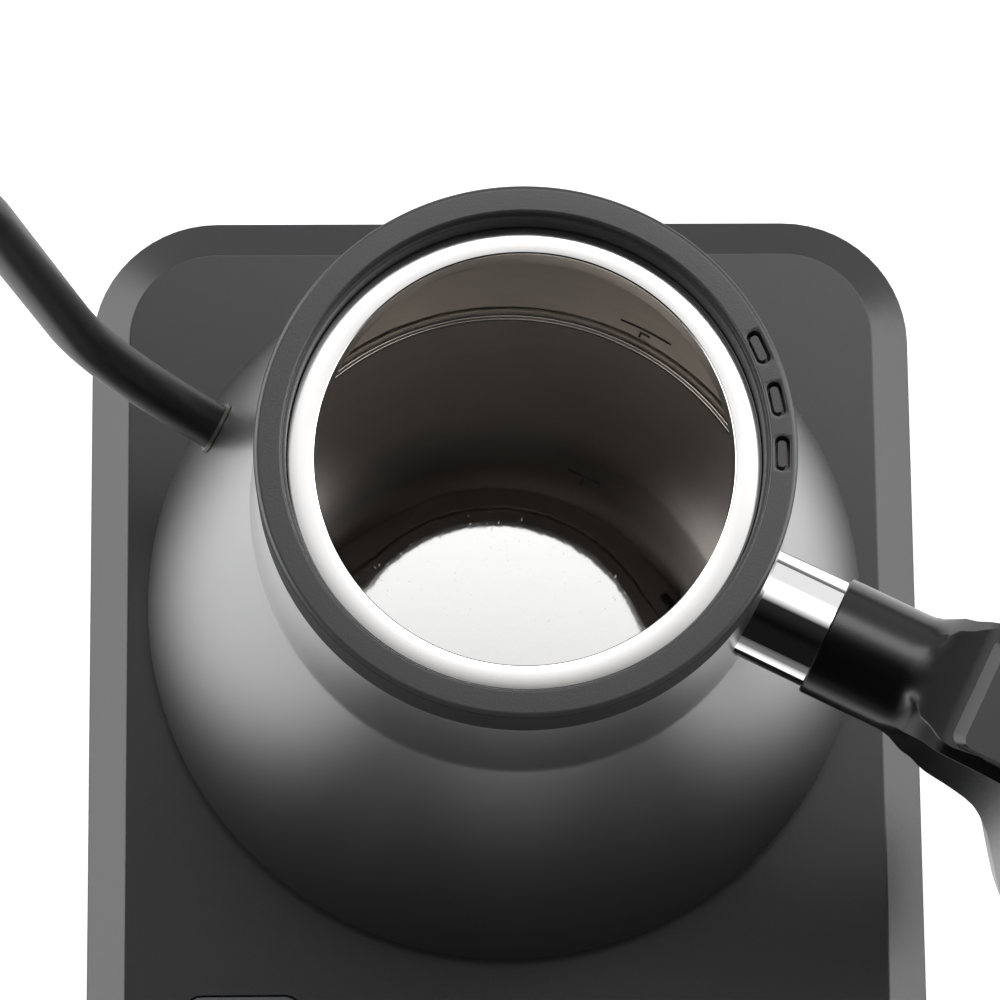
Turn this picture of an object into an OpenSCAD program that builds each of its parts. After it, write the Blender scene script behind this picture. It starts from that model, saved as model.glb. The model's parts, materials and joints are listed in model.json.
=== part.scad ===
// Electric gooseneck kettle, standing with its lid off on a rectangular base with keys.
// Origin on the surface it stands on, under the kettle's axis; +Z up, -Y is the key side.

/* [Base] */
// Width of the base, left to right
base_w = 171.2; // [164:0.2:190]
// Depth of the base, front to back
base_d = 223.2; // [220:0.2:240]
// Distance from the kettle's axis to the back of the base
base_back = 83.2; // [80:0.2:90]
// Height of the base's top above the standing surface
base_h = 30; // [30:0.5:36]
// Radius of the base's corners, seen from above
base_corner_r = 26; // [20:0.5:30]
// Width of the sloping edge round the top
bevel_w = 8; // [4:0.5:9]
// Drop of the sloping edge round the top
bevel_drop = 5; // [3:0.5:6]
// Wall of the base cover
cover_wall = 2.5; // [2:0.1:3]
// Thickness of the tray that closes the base
tray_t = 2.5; // [2:0.1:3]
// Height of the feet below the tray
foot_h = 3; // [2:0.5:4]
// Radius of a foot
foot_r = 7; // [5:0.5:8]
// Distance of a foot's centre from the edge of the base
foot_inset = 20; // [18:0.5:24]
// Radius of a base screw's shank
base_screw_r = 1.5; // [1.2:0.1:1.8]

/* [Keys] */
// Width of a key
key_w = 23; // [18:0.5:24]
// Distance of the key columns from the middle
key_x = 53.6; // [50:0.1:56]
// Front to back distance from the kettle's axis to the key nearest it
key_start = 80; // [78:0.5:82]
// Gap between two keys in a column
key_pitch_gap = 2.6; // [2.4:0.1:4]
// Distance of the last key from the sloping edge at the front
key_margin = 4.8; // [4:0.2:8]
// How far the right column starts behind the left one
key_right_shift = 2.5; // [1:0.5:4]
// Corner radius of a key
key_corner_r = 3; // [1:0.5:4]
// Height of a key above the base top
key_proud = 0.4; // [0.2:0.1:1]
// Travel of a key
key_travel = 0.5; // [0.3:0.1:0.8]
// Width of the display
display_w = 52; // [40:1:56]
// Distance of the display from the keys' area, front and back
display_margin = 8; // [6:0.5:12]

/* [Vessel] */
// Radius of the body at its bottom rim
rim_r = 73.4; // [70:0.2:76]
// Height of the skirt between the base and the bottom rim
skirt_h = 3.7; // [3:0.1:6]
// Height of the conical part of the body
cone_h = 100; // [95:1:115]
// Radius where the cone meets the neck
shoulder_r = 49.1; // [48:0.1:52]
// Height of the neck band
neck_h = 33; // [30:0.5:38]
// Radius of the neck band under the collar
neck_top_r = 47; // [46.4:0.1:47.1]
// Thickness of the steel
steel_t = 1; // [0.8:0.1:1.2]
// Height of the floor above the bottom rim
floor_rise = 20.6; // [19:0.2:24]
// Radius of the pressed ring in the floor
floor_ring_r = 56.3; // [50:0.1:58]
// Width of the pressed ring in the floor
floor_ring_w = 2.8; // [2:0.1:4]
// Rise of the floor at its middle
floor_dome = 0.4; // [0.2:0.1:1]

/* [Mouth] */
// Outer radius of the collar
collar_r = 47.1; // [47.1:0.1:48]
// Inner radius of the collar
collar_bore_r = 41.5; // [41.3:0.1:42]
// Height of the collar
collar_h = 15; // [13:0.5:18]
// Radius of the mouth inside the steel bead
mouth_r = 36.7; // [34:0.1:37]
// Width of the rolled steel bead
bead_w = 4.3; // [4:0.1:4.6]
// Distance of the bead's crest below the collar's top
bead_drop = 7; // [4:0.1:7.5]
// Length of a vent slot
slot_l = 6.2; // [5:0.1:7]
// Width of a vent slot
slot_w = 3.1; // [2.4:0.1:3.4]
// Depth of the wide part of a vent slot
slot_depth = 2.4; // [1:0.1:3]
// Direction of the first vent slot from the handle
slot_first = 24.8; // [20:0.1:40]
// Angle from one vent slot to the next
slot_pitch = 12.5; // [11:0.1:14]

/* [Spout] */
// Outer radius of the spout tube
tube_r = 4.6; // [4.2:0.1:5]
// Wall of the spout tube
tube_t = 0.8; // [0.6:0.1:1]
// Height of the spout's root above the bottom rim
spout_rise = 38.6; // [34:0.2:44]
// Angle at which the spout leaves the body
spout_leave = 30; // [26:0.5:36]
// Length of the straight stretch next to the body
spout_run = 13; // [10:0.5:20]
// Radius of the lower bend
spout_low_bend = 44.6; // [30:0.2:50]
// Angle of the long rising stretch
spout_climb = 77.8; // [74:0.1:82]
// Length of the long rising stretch
spout_up = 54; // [46:0.5:62]
// Radius of the upper bend
spout_top_bend = 22; // [18:0.5:26]
// Angle at which the tip points down
spout_tip_angle = 38; // [30:1:45]
// Length of the straight tip
spout_tip = 9; // [6:0.5:14]

/* [Handle] */
// Height of the handle's arm above the bottom rim
arm_rise = 113; // [111:0.5:116]
// Radius of the chrome ferrule
ferrule_r = 10.25; // [9.5:0.05:10.6]
// Distance of the ferrule's end from the kettle's axis
ferrule_end = 60.6; // [58:0.2:64]
// Radius of the sleeve behind the ferrule
sleeve_r = 11.2; // [11:0.1:12]
// Distance of the sleeve's end from the kettle's axis
sleeve_end = 83; // [80:0.5:86]
// Width of the grip
grip_w = 26; // [24:0.5:28]
// Depth of the grip, front to back
grip_t = 22; // [20:0.5:24]
// Length of the grip below the arm
grip_l = 102; // [90:1:108]
// Chamfer on the grip's corners
grip_chamfer = 6; // [4:0.5:7]
// Lean of the grip, outwards at its foot
grip_lean = 11; // [0:1:14]
// Thickness of the raised thumb plate
thumb_t = 2.4; // [1.6:0.2:3]
// Length of the thumb plate
thumb_l = 27; // [24:0.5:28]
// Radius of the rod inside the handle
rod_r = 3; // [2:0.5:4]

/* [Heater] */
// Radius of the heater ring, to the middle of its tube
heater_r = 42; // [38:0.5:46]
// Radius of the heater's tube
heater_tube_r = 3.6; // [3:0.1:3.8]
// Thickness of the heat spreader
spreader_t = 3; // [2.4:0.1:3.2]
// Radius of the heat spreader
spreader_r = 60; // [56:0.5:62]

/* [Connector] */
// Radius of the base's round connector
plug_r = 21; // [20:0.5:22]
// Height of the connector above the base's top
plug_rise = 10; // [9:0.5:11]
// Wall of the connector mouldings
plug_wall = 2; // [1.6:0.1:2.4]
// Radius of the middle pin in the kettle's socket
pin_r = 2; // [1.6:0.1:2.2]

/* [Electronics] */
// Length of the main circuit board
board_l = 112; // [104:1:116]
// Width of the main circuit board
board_w = 38; // [36:0.5:40]
// Thickness of the circuit boards
board_t = 1.6; // [1.2:0.1:2]
// Length of the transformer
transformer_l = 26; // [22:1:30]
// Radius of the cord inlet in the back wall
cord_r = 3.3; // [2.8:0.1:3.8]

/* [Clearances] */
// Gap between the kettle and the base it stands on
seat_gap = 0.3; // [0.2:0.05:0.5]
// Gap between pieces that move past each other
run_gap = 0.4; // [0.3:0.05:0.6]
// Gap round a piece that is dropped into its seat
fit_gap = 0.1; // [0.05:0.05:0.2]

/* [Hidden] */
$fn = 96;
eps = 0.01;
kettle_turn = -26.2;                     // direction of the handle, seen from above
// heights of the base
tray_top = foot_h + tray_t;
cover_foot = foot_h + 1.5;               // lower edge of the cover, above the tray's underside
cover_under = base_h - cover_wall;       // underside of the cover's top
base_mid_y = base_back - base_d / 2;
base_front = base_back - base_d;
key_board_top = base_h - 11.4;
switch_h = 3;
key_flange_t = 1.2;
key_flange_w = 0.9;
key_flange_top = cover_under - fit_gap * 3;
key_stem_r = 2.2;
display_ledge = 1.4;
display_t = 1.3;
key_zone = -(base_back - base_d) - bevel_w - key_start;   // flat depth in front of the kettle
key_d = (key_zone - key_margin - 2 * key_pitch_gap) / 3;
key_right_d = (key_zone - key_margin - key_right_shift - key_pitch_gap) / 2;
display_d = key_zone - 2 * display_margin;
display_y = -key_start - key_zone / 2;
post_r = 3.4;
// heights of the kettle
skirt_foot = base_h + seat_gap;
rim_z = skirt_foot + skirt_h;
shoulder_z = rim_z + cone_h;
neck_z = shoulder_z + neck_h;
top_z = neck_z + collar_h;
floor_z = rim_z + floor_rise;            // top of the floor inside its ring
floor_edge_z = floor_z - 0.7;            // top of the floor outside its ring
ring_rise = 0.7;
floor_under = floor_z - steel_t;
rim_round = 1.4;
ledge_z = top_z - collar_h + 4;          // underside of the steel ledge round the mouth
spigot_r = neck_top_r - steel_t - 0.4;   // neck wall where it steps in under the collar
crest_z = top_z - bead_drop;
bead_out_r = mouth_r + bead_w;
slot_mid_r = (collar_r + collar_bore_r) / 2;
seal_t = steel_t * 0.2;                  // seal between the ledge and the collar
slot_inner_w = slot_w - 1.2;
slot_inner_l = slot_l - 1.6;
skirt_r = rim_r - 2.1;
skirt_t = 2.4;
plate_r = skirt_r - skirt_t - fit_gap;
plate_t = 2;
plate_z = skirt_foot + 0.7;
// connector
plug_top = base_h + plug_rise;
plug_flange_t = 2;
plug_flange_r = plug_r + 5;
post_outer_r = pin_r + run_gap + plug_wall;
contact_r = 12;
contact_t = 1.2;
socket_bore_r = plug_r + run_gap;
socket_r = socket_bore_r + plug_wall + 1;
socket_roof = plug_top + run_gap + 0.6;
socket_top = socket_roof + plug_wall;
socket_foot = plate_z;
// heater
spreader_z = floor_edge_z - steel_t - spreader_t;
heater_z = spreader_z - heater_tube_r;
terminal_r = 1.6;
terminal_l = 7;
// spout, worked out in its own plane: distance from the axis and height
spout_z = rim_z + spout_rise;
spout_root = wall_r(spout_z);
tube_in_r = tube_r - tube_t;
seam_w = 0.7;
spout_start = [spout_root - 2.4 * steel_t, spout_z - 2.4 * steel_t * tan(spout_leave)];
spout_p1 = step(spout_start, spout_leave, spout_run);
spout_p2 = bend_end(spout_p1, spout_leave, spout_climb, spout_low_bend);
spout_p3 = step(spout_p2, spout_climb, spout_up);
spout_p4 = bend_end(spout_p3, spout_climb, -spout_tip_angle, spout_top_bend);
tube_sides = 32;
low_bend_steps = 8;
top_bend_steps = 12;
// handle
arm_z = rim_z + arm_rise;
arm_root = neck_r(arm_z);
ferrule_t = 1.2;
stud_r = ferrule_r - ferrule_t - fit_gap;
grip_top = arm_z + sleeve_r + 3;
grip_foot = arm_z - grip_l;
grip_back = sleeve_end + 35;
grip_wall = 2.4;
grip_in = sleeve_end + 10.5;             // inner face of the grip at the arm's height
rod_in = 7;                              // rod and screws, outwards from the inner face
grip_screw_in = 13.8;
screw_r = 1.5;
cap_h = 4;
// colours
satin_black = [0.07, 0.07, 0.075];
matt_black = [0.12, 0.12, 0.125];
base_grey = [0.2, 0.2, 0.21];
rubber_black = [0.05, 0.05, 0.05];
steel = [0.72, 0.72, 0.71];
brass = [0.8, 0.65, 0.3];
board_green = [0.05, 0.3, 0.16];

function wall_r(z) = shoulder_r + (rim_r - shoulder_r) * (shoulder_z - z) / (cone_h - rim_round);
function neck_r(z) = neck_top_r + (shoulder_r - neck_top_r) * (neck_z - z) / neck_h;
function step(p, angle, l) = [p[0] + l * cos(angle), p[1] + l * sin(angle)];
// centre of a bend that starts at p in one direction and turns to another
function bend_mid(p, a, b, r) = step(p, a + (b > a ? 90 : -90), r);
function bend_end(p, a, b, r) = step(bend_mid(p, a, b, r), b + (b > a ? -90 : 90), r);

// ---- shared shapes ----
module rounded(w, d, r) {
    union() {
        square([w - 2 * r, d], center = true);
        square([w, d - 2 * r], center = true);
        for (sx = [-1, 1], sy = [-1, 1]) translate([sx * (w / 2 - r), sy * (d / 2 - r)]) circle(r);
    }
}

// a rounded slab whose top edge slopes inwards
module bevelled_slab(w, d, r, h, in, drop) {
    module side(across, along) {
        rotate([90, 0, 0]) translate([0, 0, -along / 2]) linear_extrude(along)
            polygon([[-across / 2, 0], [across / 2, 0], [across / 2, h - drop],
                [across / 2 - in, h], [-across / 2 + in, h], [-across / 2, h - drop]]);
    }
    union() {
        side(w, d - 2 * r);
        rotate([0, 0, 90]) side(d, w - 2 * r);
        for (sx = [-1, 1], sy = [-1, 1]) translate([sx * (w / 2 - r), sy * (d / 2 - r), 0]) {
            cylinder(r = r, h = h - drop);
            translate([0, 0, h - drop]) cylinder(r1 = r, r2 = r - in, h = drop);
        }
    }
}

module ring(r_out, r_in, h) {
    difference() {
        cylinder(r = r_out, h = h);
        translate([0, 0, -1]) cylinder(r = r_in, h = h + 2);
    }
}

module box(x, y, z, at) { translate([at[0] - x / 2, at[1] - y / 2, at[2]]) cube([x, y, z]); }

module turned() { rotate([0, 0, kettle_turn]) children(); }

module at_corners() {
    for (sx = [-1, 1], y = [base_front + foot_inset, base_back - foot_inset])
        translate([sx * (base_w / 2 - foot_inset), y, 0]) children();
}

// places of the keys: [x, y, depth]
left_ys = [for (i = [0:2]) -key_start - key_d / 2 - i * (key_d + key_pitch_gap)];
right_ys = [for (i = [0:1]) -key_start - key_right_shift - key_right_d / 2
    - i * (key_right_d + key_pitch_gap)];
keys = concat([for (y = left_ys) [-key_x, y, key_d]], [for (y = right_ys) [key_x, y, key_right_d]]);
board_y = base_back - cover_wall - 6 - board_w / 2;
board_z = tray_top + 4.5;
standoffs = [for (sx = [-1, 1], sy = [-1, 1]) [sx * (board_l / 2 - 5), board_y + sy * (board_w / 2 - 4)]];
key_board_w = 2 * key_x + key_w + 6;
key_board_d = key_zone + 4;
key_board_y = display_y;
key_posts = [for (sx = [-1, 1], sy = [-1, 1]) [sx * 34, key_board_y + sy * (key_board_d / 2 - 3.5)]];
screw_posts = [for (sx = [-1, 1], y = [base_front + 38, base_back - 34]) [sx * (base_w / 2 - 10), y]];

// ---- base ----
module base_cover() {
    inner_drop = bevel_drop;
    color(base_grey) difference() {
        union() {
            translate([0, base_mid_y, cover_foot]) difference() {
                bevelled_slab(base_w, base_d, base_corner_r, base_h - cover_foot, bevel_w, bevel_drop);
                translate([0, 0, -1]) bevelled_slab(base_w - 2 * cover_wall, base_d - 2 * cover_wall,
                    base_corner_r - cover_wall, cover_under - cover_foot + 1, bevel_w, inner_drop);
            }
            for (p = screw_posts) translate([p[0], p[1], tray_top + fit_gap])
                cylinder(r = post_r, h = cover_under - tray_top);
        }
        translate([0, 0, cover_under - 1]) cylinder(r = plug_r + fit_gap, h = cover_wall + 2);
        for (k = keys) translate([k[0], k[1], cover_under - 1]) linear_extrude(cover_wall + 2)
            rounded(key_w + 2 * run_gap, k[2] + 2 * run_gap, key_corner_r + run_gap);
        translate([0, display_y, cover_under - 1]) linear_extrude(cover_wall + 2)
            rounded(display_w - 2 * display_ledge, display_d - 2 * display_ledge, 1.5);
        translate([0, display_y, base_h - display_t]) linear_extrude(display_t + 1)
            rounded(display_w + 2 * fit_gap, display_d + 2 * fit_gap, 2.5);
        for (p = screw_posts) translate([p[0], p[1], tray_top - 1]) cylinder(r = base_screw_r, h = 10);
        translate([board_edge_x, base_back + 1, cord_z]) rotate([90, 0, 0])
            cylinder(r = gland_r, h = cover_wall + 2);
    }
}
board_edge_x = -base_w / 2 + base_corner_r + 12;
cord_z = 14;
gland_r = cord_r + 2.2;

module base_tray() {
    edge = cover_wall + fit_gap;
    color(matt_black) difference() {
        union() {
            translate([0, base_mid_y, foot_h]) linear_extrude(tray_t)
                rounded(base_w - 2 * edge, base_d - 2 * edge, base_corner_r - edge);
            for (p = standoffs) translate([p[0], p[1], tray_top - eps])
                cylinder(r = 3, h = board_z - tray_top + eps);
            for (p = key_posts) translate([p[0], p[1], tray_top - eps])
                cylinder(r = 3, h = key_board_top - board_t - tray_top + eps);
            translate([0, 0, tray_top - eps]) ring(plug_r - 3, plug_r - 6, cover_under - plug_flange_t
                - tray_top - fit_gap + eps);
        }
        for (p = screw_posts) translate([p[0], p[1], foot_h - 1]) {
            cylinder(r = base_screw_r + fit_gap, h = tray_t + 2);
            cylinder(r = 3.2, h = 2.2);
        }
        at_corners() translate([0, 0, foot_h - 1]) cylinder(r = foot_r - 3.5, h = tray_t + 2);
    }
}

module feet() {
    color(rubber_black) at_corners() {
        cylinder(r = foot_r, h = foot_h);
        cylinder(r = foot_r - 3.5, h = foot_h + tray_t);
    }
}

module centre_foot() { color(rubber_black) cylinder(r = foot_r + 4, h = foot_h); }

module base_screws() {
    color(steel) for (p = screw_posts) translate([p[0], p[1], foot_h]) {
        cylinder(r = 2.9, h = 1.2);
        cylinder(r = base_screw_r, h = tray_t + 7);
    }
}

// ---- connector on the base ----
module plug_housing() {
    color(matt_black) {
        difference() {
            union() {
                translate([0, 0, cover_under - plug_flange_t]) cylinder(r = plug_flange_r, h = plug_flange_t);
                translate([0, 0, cover_under - eps]) cylinder(r = plug_r, h = plug_top - cover_under + eps);
            }
            translate([0, 0, cover_under + plug_wall]) difference() {
                cylinder(r = plug_r - plug_wall, h = plug_top);
                translate([0, 0, -1]) cylinder(r = post_outer_r, h = plug_top - cover_under - 1);
            }
            translate([0, 0, cover_under - plug_flange_t - 1]) cylinder(r = pin_r + run_gap, h = plug_top);
        }
    }
}

module plug_contacts() {
    floor_top = cover_under + plug_wall;
    color(brass) {
        for (r = [contact_r - 4, contact_r]) translate([0, 0, floor_top]) ring(r + contact_t, r, 2.4);
        translate([0, 0, cover_under - plug_flange_t - 5]) ring(pin_r + run_gap + 1, pin_r + run_gap, 5);
    }
}

module plug_seal() {
    color(rubber_black) translate([0, 0, base_h]) ring(plug_r + 2, plug_r, seat_gap + 0.4);
}

// ---- keys and display ----
module key(i) {
    k = keys[i];
    skirt = 2 * key_flange_w;
    top = base_h + key_proud;
    stem_top = key_flange_top - key_flange_t;
    color([0.24, 0.24, 0.25]) translate([k[0], k[1], 0]) {
        translate([0, 0, key_flange_top]) linear_extrude(top - key_flange_top)
            rounded(key_w, k[2], key_corner_r);
        translate([0, 0, stem_top]) linear_extrude(key_flange_t)
            rounded(key_w + skirt, k[2] + skirt, key_corner_r);
        translate([0, 0, key_board_top + switch_h + key_travel + fit_gap])
            cylinder(r = key_stem_r, h = stem_top - key_board_top - switch_h - key_travel);
    }
}
module key_power() { key(0); }
module key_hold() { key(1); }
module key_timer() { key(2); }
module key_plus() { key(3); }
module key_minus() { key(4); }

module display_window() {
    color([0.02, 0.02, 0.025]) translate([0, display_y, base_h - display_t]) linear_extrude(display_t)
        rounded(display_w, display_d, 2.4);
}

module display_module() {
    gap = cover_under - key_board_top;
    color([0.3, 0.33, 0.32]) {
        box(display_w - 8, display_d - 8, gap - fit_gap, [0, display_y, key_board_top]);
        box(display_w - 12, display_d - 12, cover_wall - display_t,
            [0, display_y, cover_under - fit_gap]);
    }
}

module key_board() {
    color(board_green) box(key_board_w, key_board_d, board_t,
        [0, key_board_y, key_board_top - board_t]);
}

module key_switches() {
    color([0.15, 0.15, 0.15]) for (k = keys) translate([k[0], k[1], key_board_top]) {
        box(6, 6, switch_h - 0.8, [0, 0, 0]);
        cylinder(r = 1.7, h = switch_h);
    }
}

// ---- main circuit ----
module main_board() {
    color(board_green) box(board_l, board_w, board_t, [0, board_y, board_z]);
}
parts_z = board_z + board_t;
module relay() { color([0.12, 0.25, 0.55]) box(20, 16, 10, [board_l / 2 - 16, board_y, parts_z]); }
module transformer() {
    color([0.75, 0.62, 0.2]) {
        box(transformer_l, 22, 8, [0, board_y, parts_z]);
        box(transformer_l - 10, 26, 5, [0, board_y, parts_z + 1.5]);
    }
}
module capacitors() {
    color([0.2, 0.2, 0.24]) for (x = [-transformer_l / 2 - 9, transformer_l / 2 + 8])
        translate([x, board_y, parts_z]) cylinder(r = 4, h = 10);
}
module terminal_block() {
    color([0.1, 0.4, 0.2]) box(16, 12, 9, [-board_l / 2 + 12, board_y + 4, parts_z]);
}
module cord_gland() {
    color(rubber_black) translate([board_edge_x, base_back, cord_z]) rotate([90, 0, 0]) difference() {
        union() {
            cylinder(r = gland_r - fit_gap, h = cover_wall + 2.4);
            translate([0, 0, -0.8]) cylinder(r = gland_r + 1, h = 0.8);
            translate([0, 0, cover_wall + fit_gap]) cylinder(r = gland_r + 1.2, h = 0.8);
        }
        translate([0, 0, -3]) cylinder(r = cord_r, h = cover_wall + 10);
    }
}
module cord_clamp() {
    y = base_back - cover_wall - 14;
    color(matt_black) difference() {
        box(14, 5, cord_z + cord_r + 2 - tray_top, [board_edge_x - 20, y, tray_top]);
        translate([board_edge_x - 20, y + 5, cord_z - 1]) rotate([90, 0, 0]) cylinder(r = cord_r, h = 10);
    }
}

// ---- socket under the kettle ----
module socket_housing() {
    color(matt_black) difference() {
        translate([0, 0, socket_foot]) cylinder(r = socket_r, h = socket_top - socket_foot);
        translate([0, 0, socket_foot - 1]) cylinder(r = socket_bore_r, h = socket_roof - socket_foot + 1);
        cylinder(r = pin_r, h = socket_top + 1);
        for (a = [0, 180]) rotate([0, 0, a]) translate([contact_r - 2, 0, socket_roof - 1])
            cylinder(r = 0.8, h = plug_wall + 2);
    }
}

module socket_contacts() {
    blade_foot = cover_under + plug_wall + 2.4 + run_gap;
    color(brass) {
        translate([0, 0, cover_under]) cylinder(r = pin_r, h = socket_top - cover_under + 1.2);
        for (a = [0, 180]) rotate([0, 0, a]) translate([contact_r - 2, 0, blade_foot])
            cylinder(r = 0.8, h = socket_top - blade_foot + 1.2);
    }
}

// ---- kettle ----
// outline of the body from the rim up to the step under the collar
function body_outline(inset) = concat(
    [for (a = [-90:30:0]) [rim_r - rim_round + rim_round * cos(a) - inset, rim_z + rim_round * (1 + sin(a))]],
    [[shoulder_r - inset, shoulder_z], [neck_top_r - inset, neck_z],
        [spigot_r + steel_t - inset, neck_z + 0.3], [spigot_r + steel_t - inset, ledge_z + eps]]);

module vessel() {
    out = body_outline(0);
    in = body_outline(steel_t);
    color(satin_black) difference() {
        rotate_extrude($fn = 180) polygon(concat(out, [for (i = [len(in) - 1:-1:0]) in[i]]));
        translate([0, 0, rim_z - 1]) cylinder(r = rim_r - rim_round - steel_t, h = 2);
        turned() rotate([0, 0, 180]) translate([spout_start[0] - 4, 0, spout_start[1] - 4 * tan(spout_leave)])
            rotate([0, 90 - spout_leave, 0]) cylinder(r = tube_in_r, h = 16);
    }
}

module floor_plate() {
    r0 = floor_ring_r - floor_ring_w / 2;
    r1 = floor_ring_r + floor_ring_w / 2;
    edge_r = wall_r(floor_edge_z) - steel_t - 0.3;
    top = [[0, floor_z + floor_dome], [r0 / 2, floor_z + floor_dome * 0.75], [r0, floor_z],
        [r0 + 0.4, floor_z + ring_rise], [r1 - 0.4, floor_z + ring_rise], [r1, floor_edge_z],
        [edge_r, floor_edge_z]];
    color(steel) rotate_extrude($fn = 180) polygon(concat(top,
        [for (i = [len(top) - 1:-1:0]) [top[i][0], top[i][1] - steel_t]]));
}

module heat_spreader() {
    r0 = floor_ring_r - floor_ring_w / 2;
    color([0.78, 0.79, 0.8]) difference() {
        translate([0, 0, spreader_z]) cylinder(r = min(spreader_r, r0 - 0.5), h = floor_under - spreader_z);
        translate([0, 0, spreader_z - 1]) cylinder(r = probe_r + 1.2, h = 10);
    }
}
probe_r = 2.5;

heater_lead = 14;
module heater_ring() {
    lead = heater_lead;
    color([0.45, 0.44, 0.42]) {
        translate([0, 0, heater_z]) rotate([0, 0, 90 + lead]) rotate_extrude(angle = 360 - 2 * lead)
            translate([heater_r, 0]) circle(heater_tube_r);
        for (a = [86 - lead, 94 + lead]) rotate([0, 0, a]) translate([heater_r, 0, heater_z - terminal_l])
            cylinder(r = terminal_r, h = terminal_l);
    }
}

thermo_r = 7;
thermo_x = 31 - 1;
module thermostats() {
    color([0.82, 0.8, 0.74]) for (a = [215, 325]) rotate([0, 0, a]) translate([thermo_x, 0, 0]) {
        translate([0, 0, spreader_z - 5]) cylinder(r = thermo_r - 2.5, h = 5);
        for (x = [-2.5, 2.5]) translate([x, 0, spreader_z - 10]) cylinder(r = 0.8, h = 5);
    }
}
module temp_probe() {
    color(steel) translate([0, 0, socket_top + 2.2]) {
        cylinder(r = probe_r, h = floor_z + floor_dome * 0.9 - steel_t - socket_top - 2.2);
    }
}
module probe_seal() {
    color([0.6, 0.2, 0.15]) translate([0, 0, spreader_z]) ring(probe_r + 1.2, probe_r, 3);
}
module jumper_wires() {
    end = 86 - heater_lead - asin(terminal_r / heater_r) - 0.1;
    z = heater_z - terminal_l + 1;
    color([0.75, 0.1, 0.08]) for (s = [-1, 1]) mirror([s < 0 ? 1 : 0, 0, 0])
        rotate([0, 0, -35]) translate([0, 0, z - 1.2]) rotate_extrude(angle = 35 + end) translate([heater_r, 0]) circle(1);
}

module bottom_skirt() {
    lift = 6;
    out = rim_r - rim_round - steel_t - fit_gap;
    color(matt_black) difference() {
        union() {
            translate([0, 0, skirt_foot]) ring(skirt_r, skirt_r - skirt_t, rim_z - skirt_foot);
            translate([0, 0, rim_z - eps]) ring(min(out, wall_r(rim_z + lift) - steel_t - fit_gap),
                skirt_r - skirt_t - 2, lift);
            for (a = [30, 150, 270]) rotate([0, 0, a]) translate([plate_r - 6, 0, plate_z + plate_t])
                cylinder(r = 4, h = rim_z + lift - plate_z - plate_t);
            for (a = [30, 150, 270]) rotate([0, 0, a])
                box(6, 3, 4, [plate_r - 1.6, 0, rim_z + lift - 4]);
        }
        for (a = [30, 150, 270]) rotate([0, 0, a]) translate([plate_r - 6, 0, plate_z]) cylinder(r = screw_r, h = 8);
    }
}

module bottom_plate() {
    color(matt_black) difference() {
        translate([0, 0, plate_z]) cylinder(r = plate_r, h = plate_t);
        translate([0, 0, plate_z - 1]) cylinder(r = socket_r + run_gap, h = plate_t + 2);
        for (a = [30, 150, 270]) rotate([0, 0, a]) translate([plate_r - 6, 0, plate_z - 1])
            cylinder(r = screw_r + fit_gap, h = plate_t + 2);
    }
}

module bottom_screws() {
    color(steel) for (a = [30, 150, 270]) rotate([0, 0, a]) translate([plate_r - 6, 0, plate_z - 0.5]) {
        cylinder(r = 2.6, h = 0.5);
        cylinder(r = screw_r, h = plate_t + 6);
    }
}

// ---- mouth ----
module slot(l, w, h) {
    linear_extrude(h) union() {
        square([w, l - w], center = true);
        for (s = [-1, 1]) translate([0, s * (l - w) / 2]) circle(w / 2, $fn = 32);
    }
}
module at_slots(r) {
    for (i = [0:2]) turned() rotate([0, 0, slot_first + i * slot_pitch]) translate([r, 0, 0]) children();
}

module collar() {
    edge = 1;
    skirt_in = spigot_r + steel_t + fit_gap;
    color(matt_black) difference() {
        union() {
            rotate_extrude($fn = 180) polygon(concat(
                [[collar_bore_r, ledge_z + steel_t], [skirt_in, ledge_z + steel_t], [skirt_in, neck_z + 0.4],
                    [collar_r, neck_z + 0.4]],
                [for (a = [0:30:90]) [collar_r - edge + edge * cos(a), top_z - edge + edge * sin(a)]],
                [for (a = [90:30:180]) [collar_bore_r + edge / 2 + edge / 2 * cos(a),
                    top_z - edge / 2 + edge / 2 * sin(a)]]));
            turned() rotate([0, 0, 120.8]) box(0.9, 4.9, 2, [collar_r, 0, top_z - 3]);
        }
        at_slots(slot_mid_r) {
            translate([0, 0, top_z - slot_depth]) slot(slot_l, slot_w, slot_depth + 1);
            translate([0, 0, ledge_z]) slot(slot_inner_l, slot_inner_w, collar_h);
        }
    }
}

module mouth_ring() {
    mid = mouth_r + bead_w / 2;
    top_mid = crest_z - bead_w / 2;
    hem_z = ledge_z - 3.1;
    color(steel) difference() {
        rotate_extrude($fn = 180) difference() {
            union() {
                translate([mid, top_mid]) circle(bead_w / 2, $fn = 48);
                translate([mouth_r, hem_z]) square([bead_w, top_mid - hem_z]);
                translate([mid, ledge_z]) square([spigot_r - mid - 0.05, steel_t * 0.8]);
            }
            union() {
                translate([mid, top_mid]) circle(bead_w / 2 - 0.8, $fn = 48);
                translate([mouth_r + 0.8, hem_z - 1]) square([bead_w - 1.6, top_mid - hem_z + 1]);
                translate([mid, hem_z - 1]) square([bead_w, ledge_z - hem_z + 1]);
            }
        }
        at_slots(slot_mid_r - 0.6) translate([0, 0, ledge_z - 1]) slot(slot_inner_l, slot_inner_w, 4);
    }
}

module mouth_seal() {
    color(rubber_black) translate([0, 0, ledge_z + steel_t * 0.8])
        ring(collar_bore_r + 0.6, bead_out_r + fit_gap, seal_t);
}

// ---- spout ----
module straight(p, a, l, r_out, r_in) {
    translate([p[0], 0, p[1]]) rotate([0, 90 - a, 0]) difference() {
        cylinder(r = r_out, h = l, $fn = 48);
        translate([0, 0, -1]) cylinder(r = r_in, h = l + 2, $fn = 48);
    }
}

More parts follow.
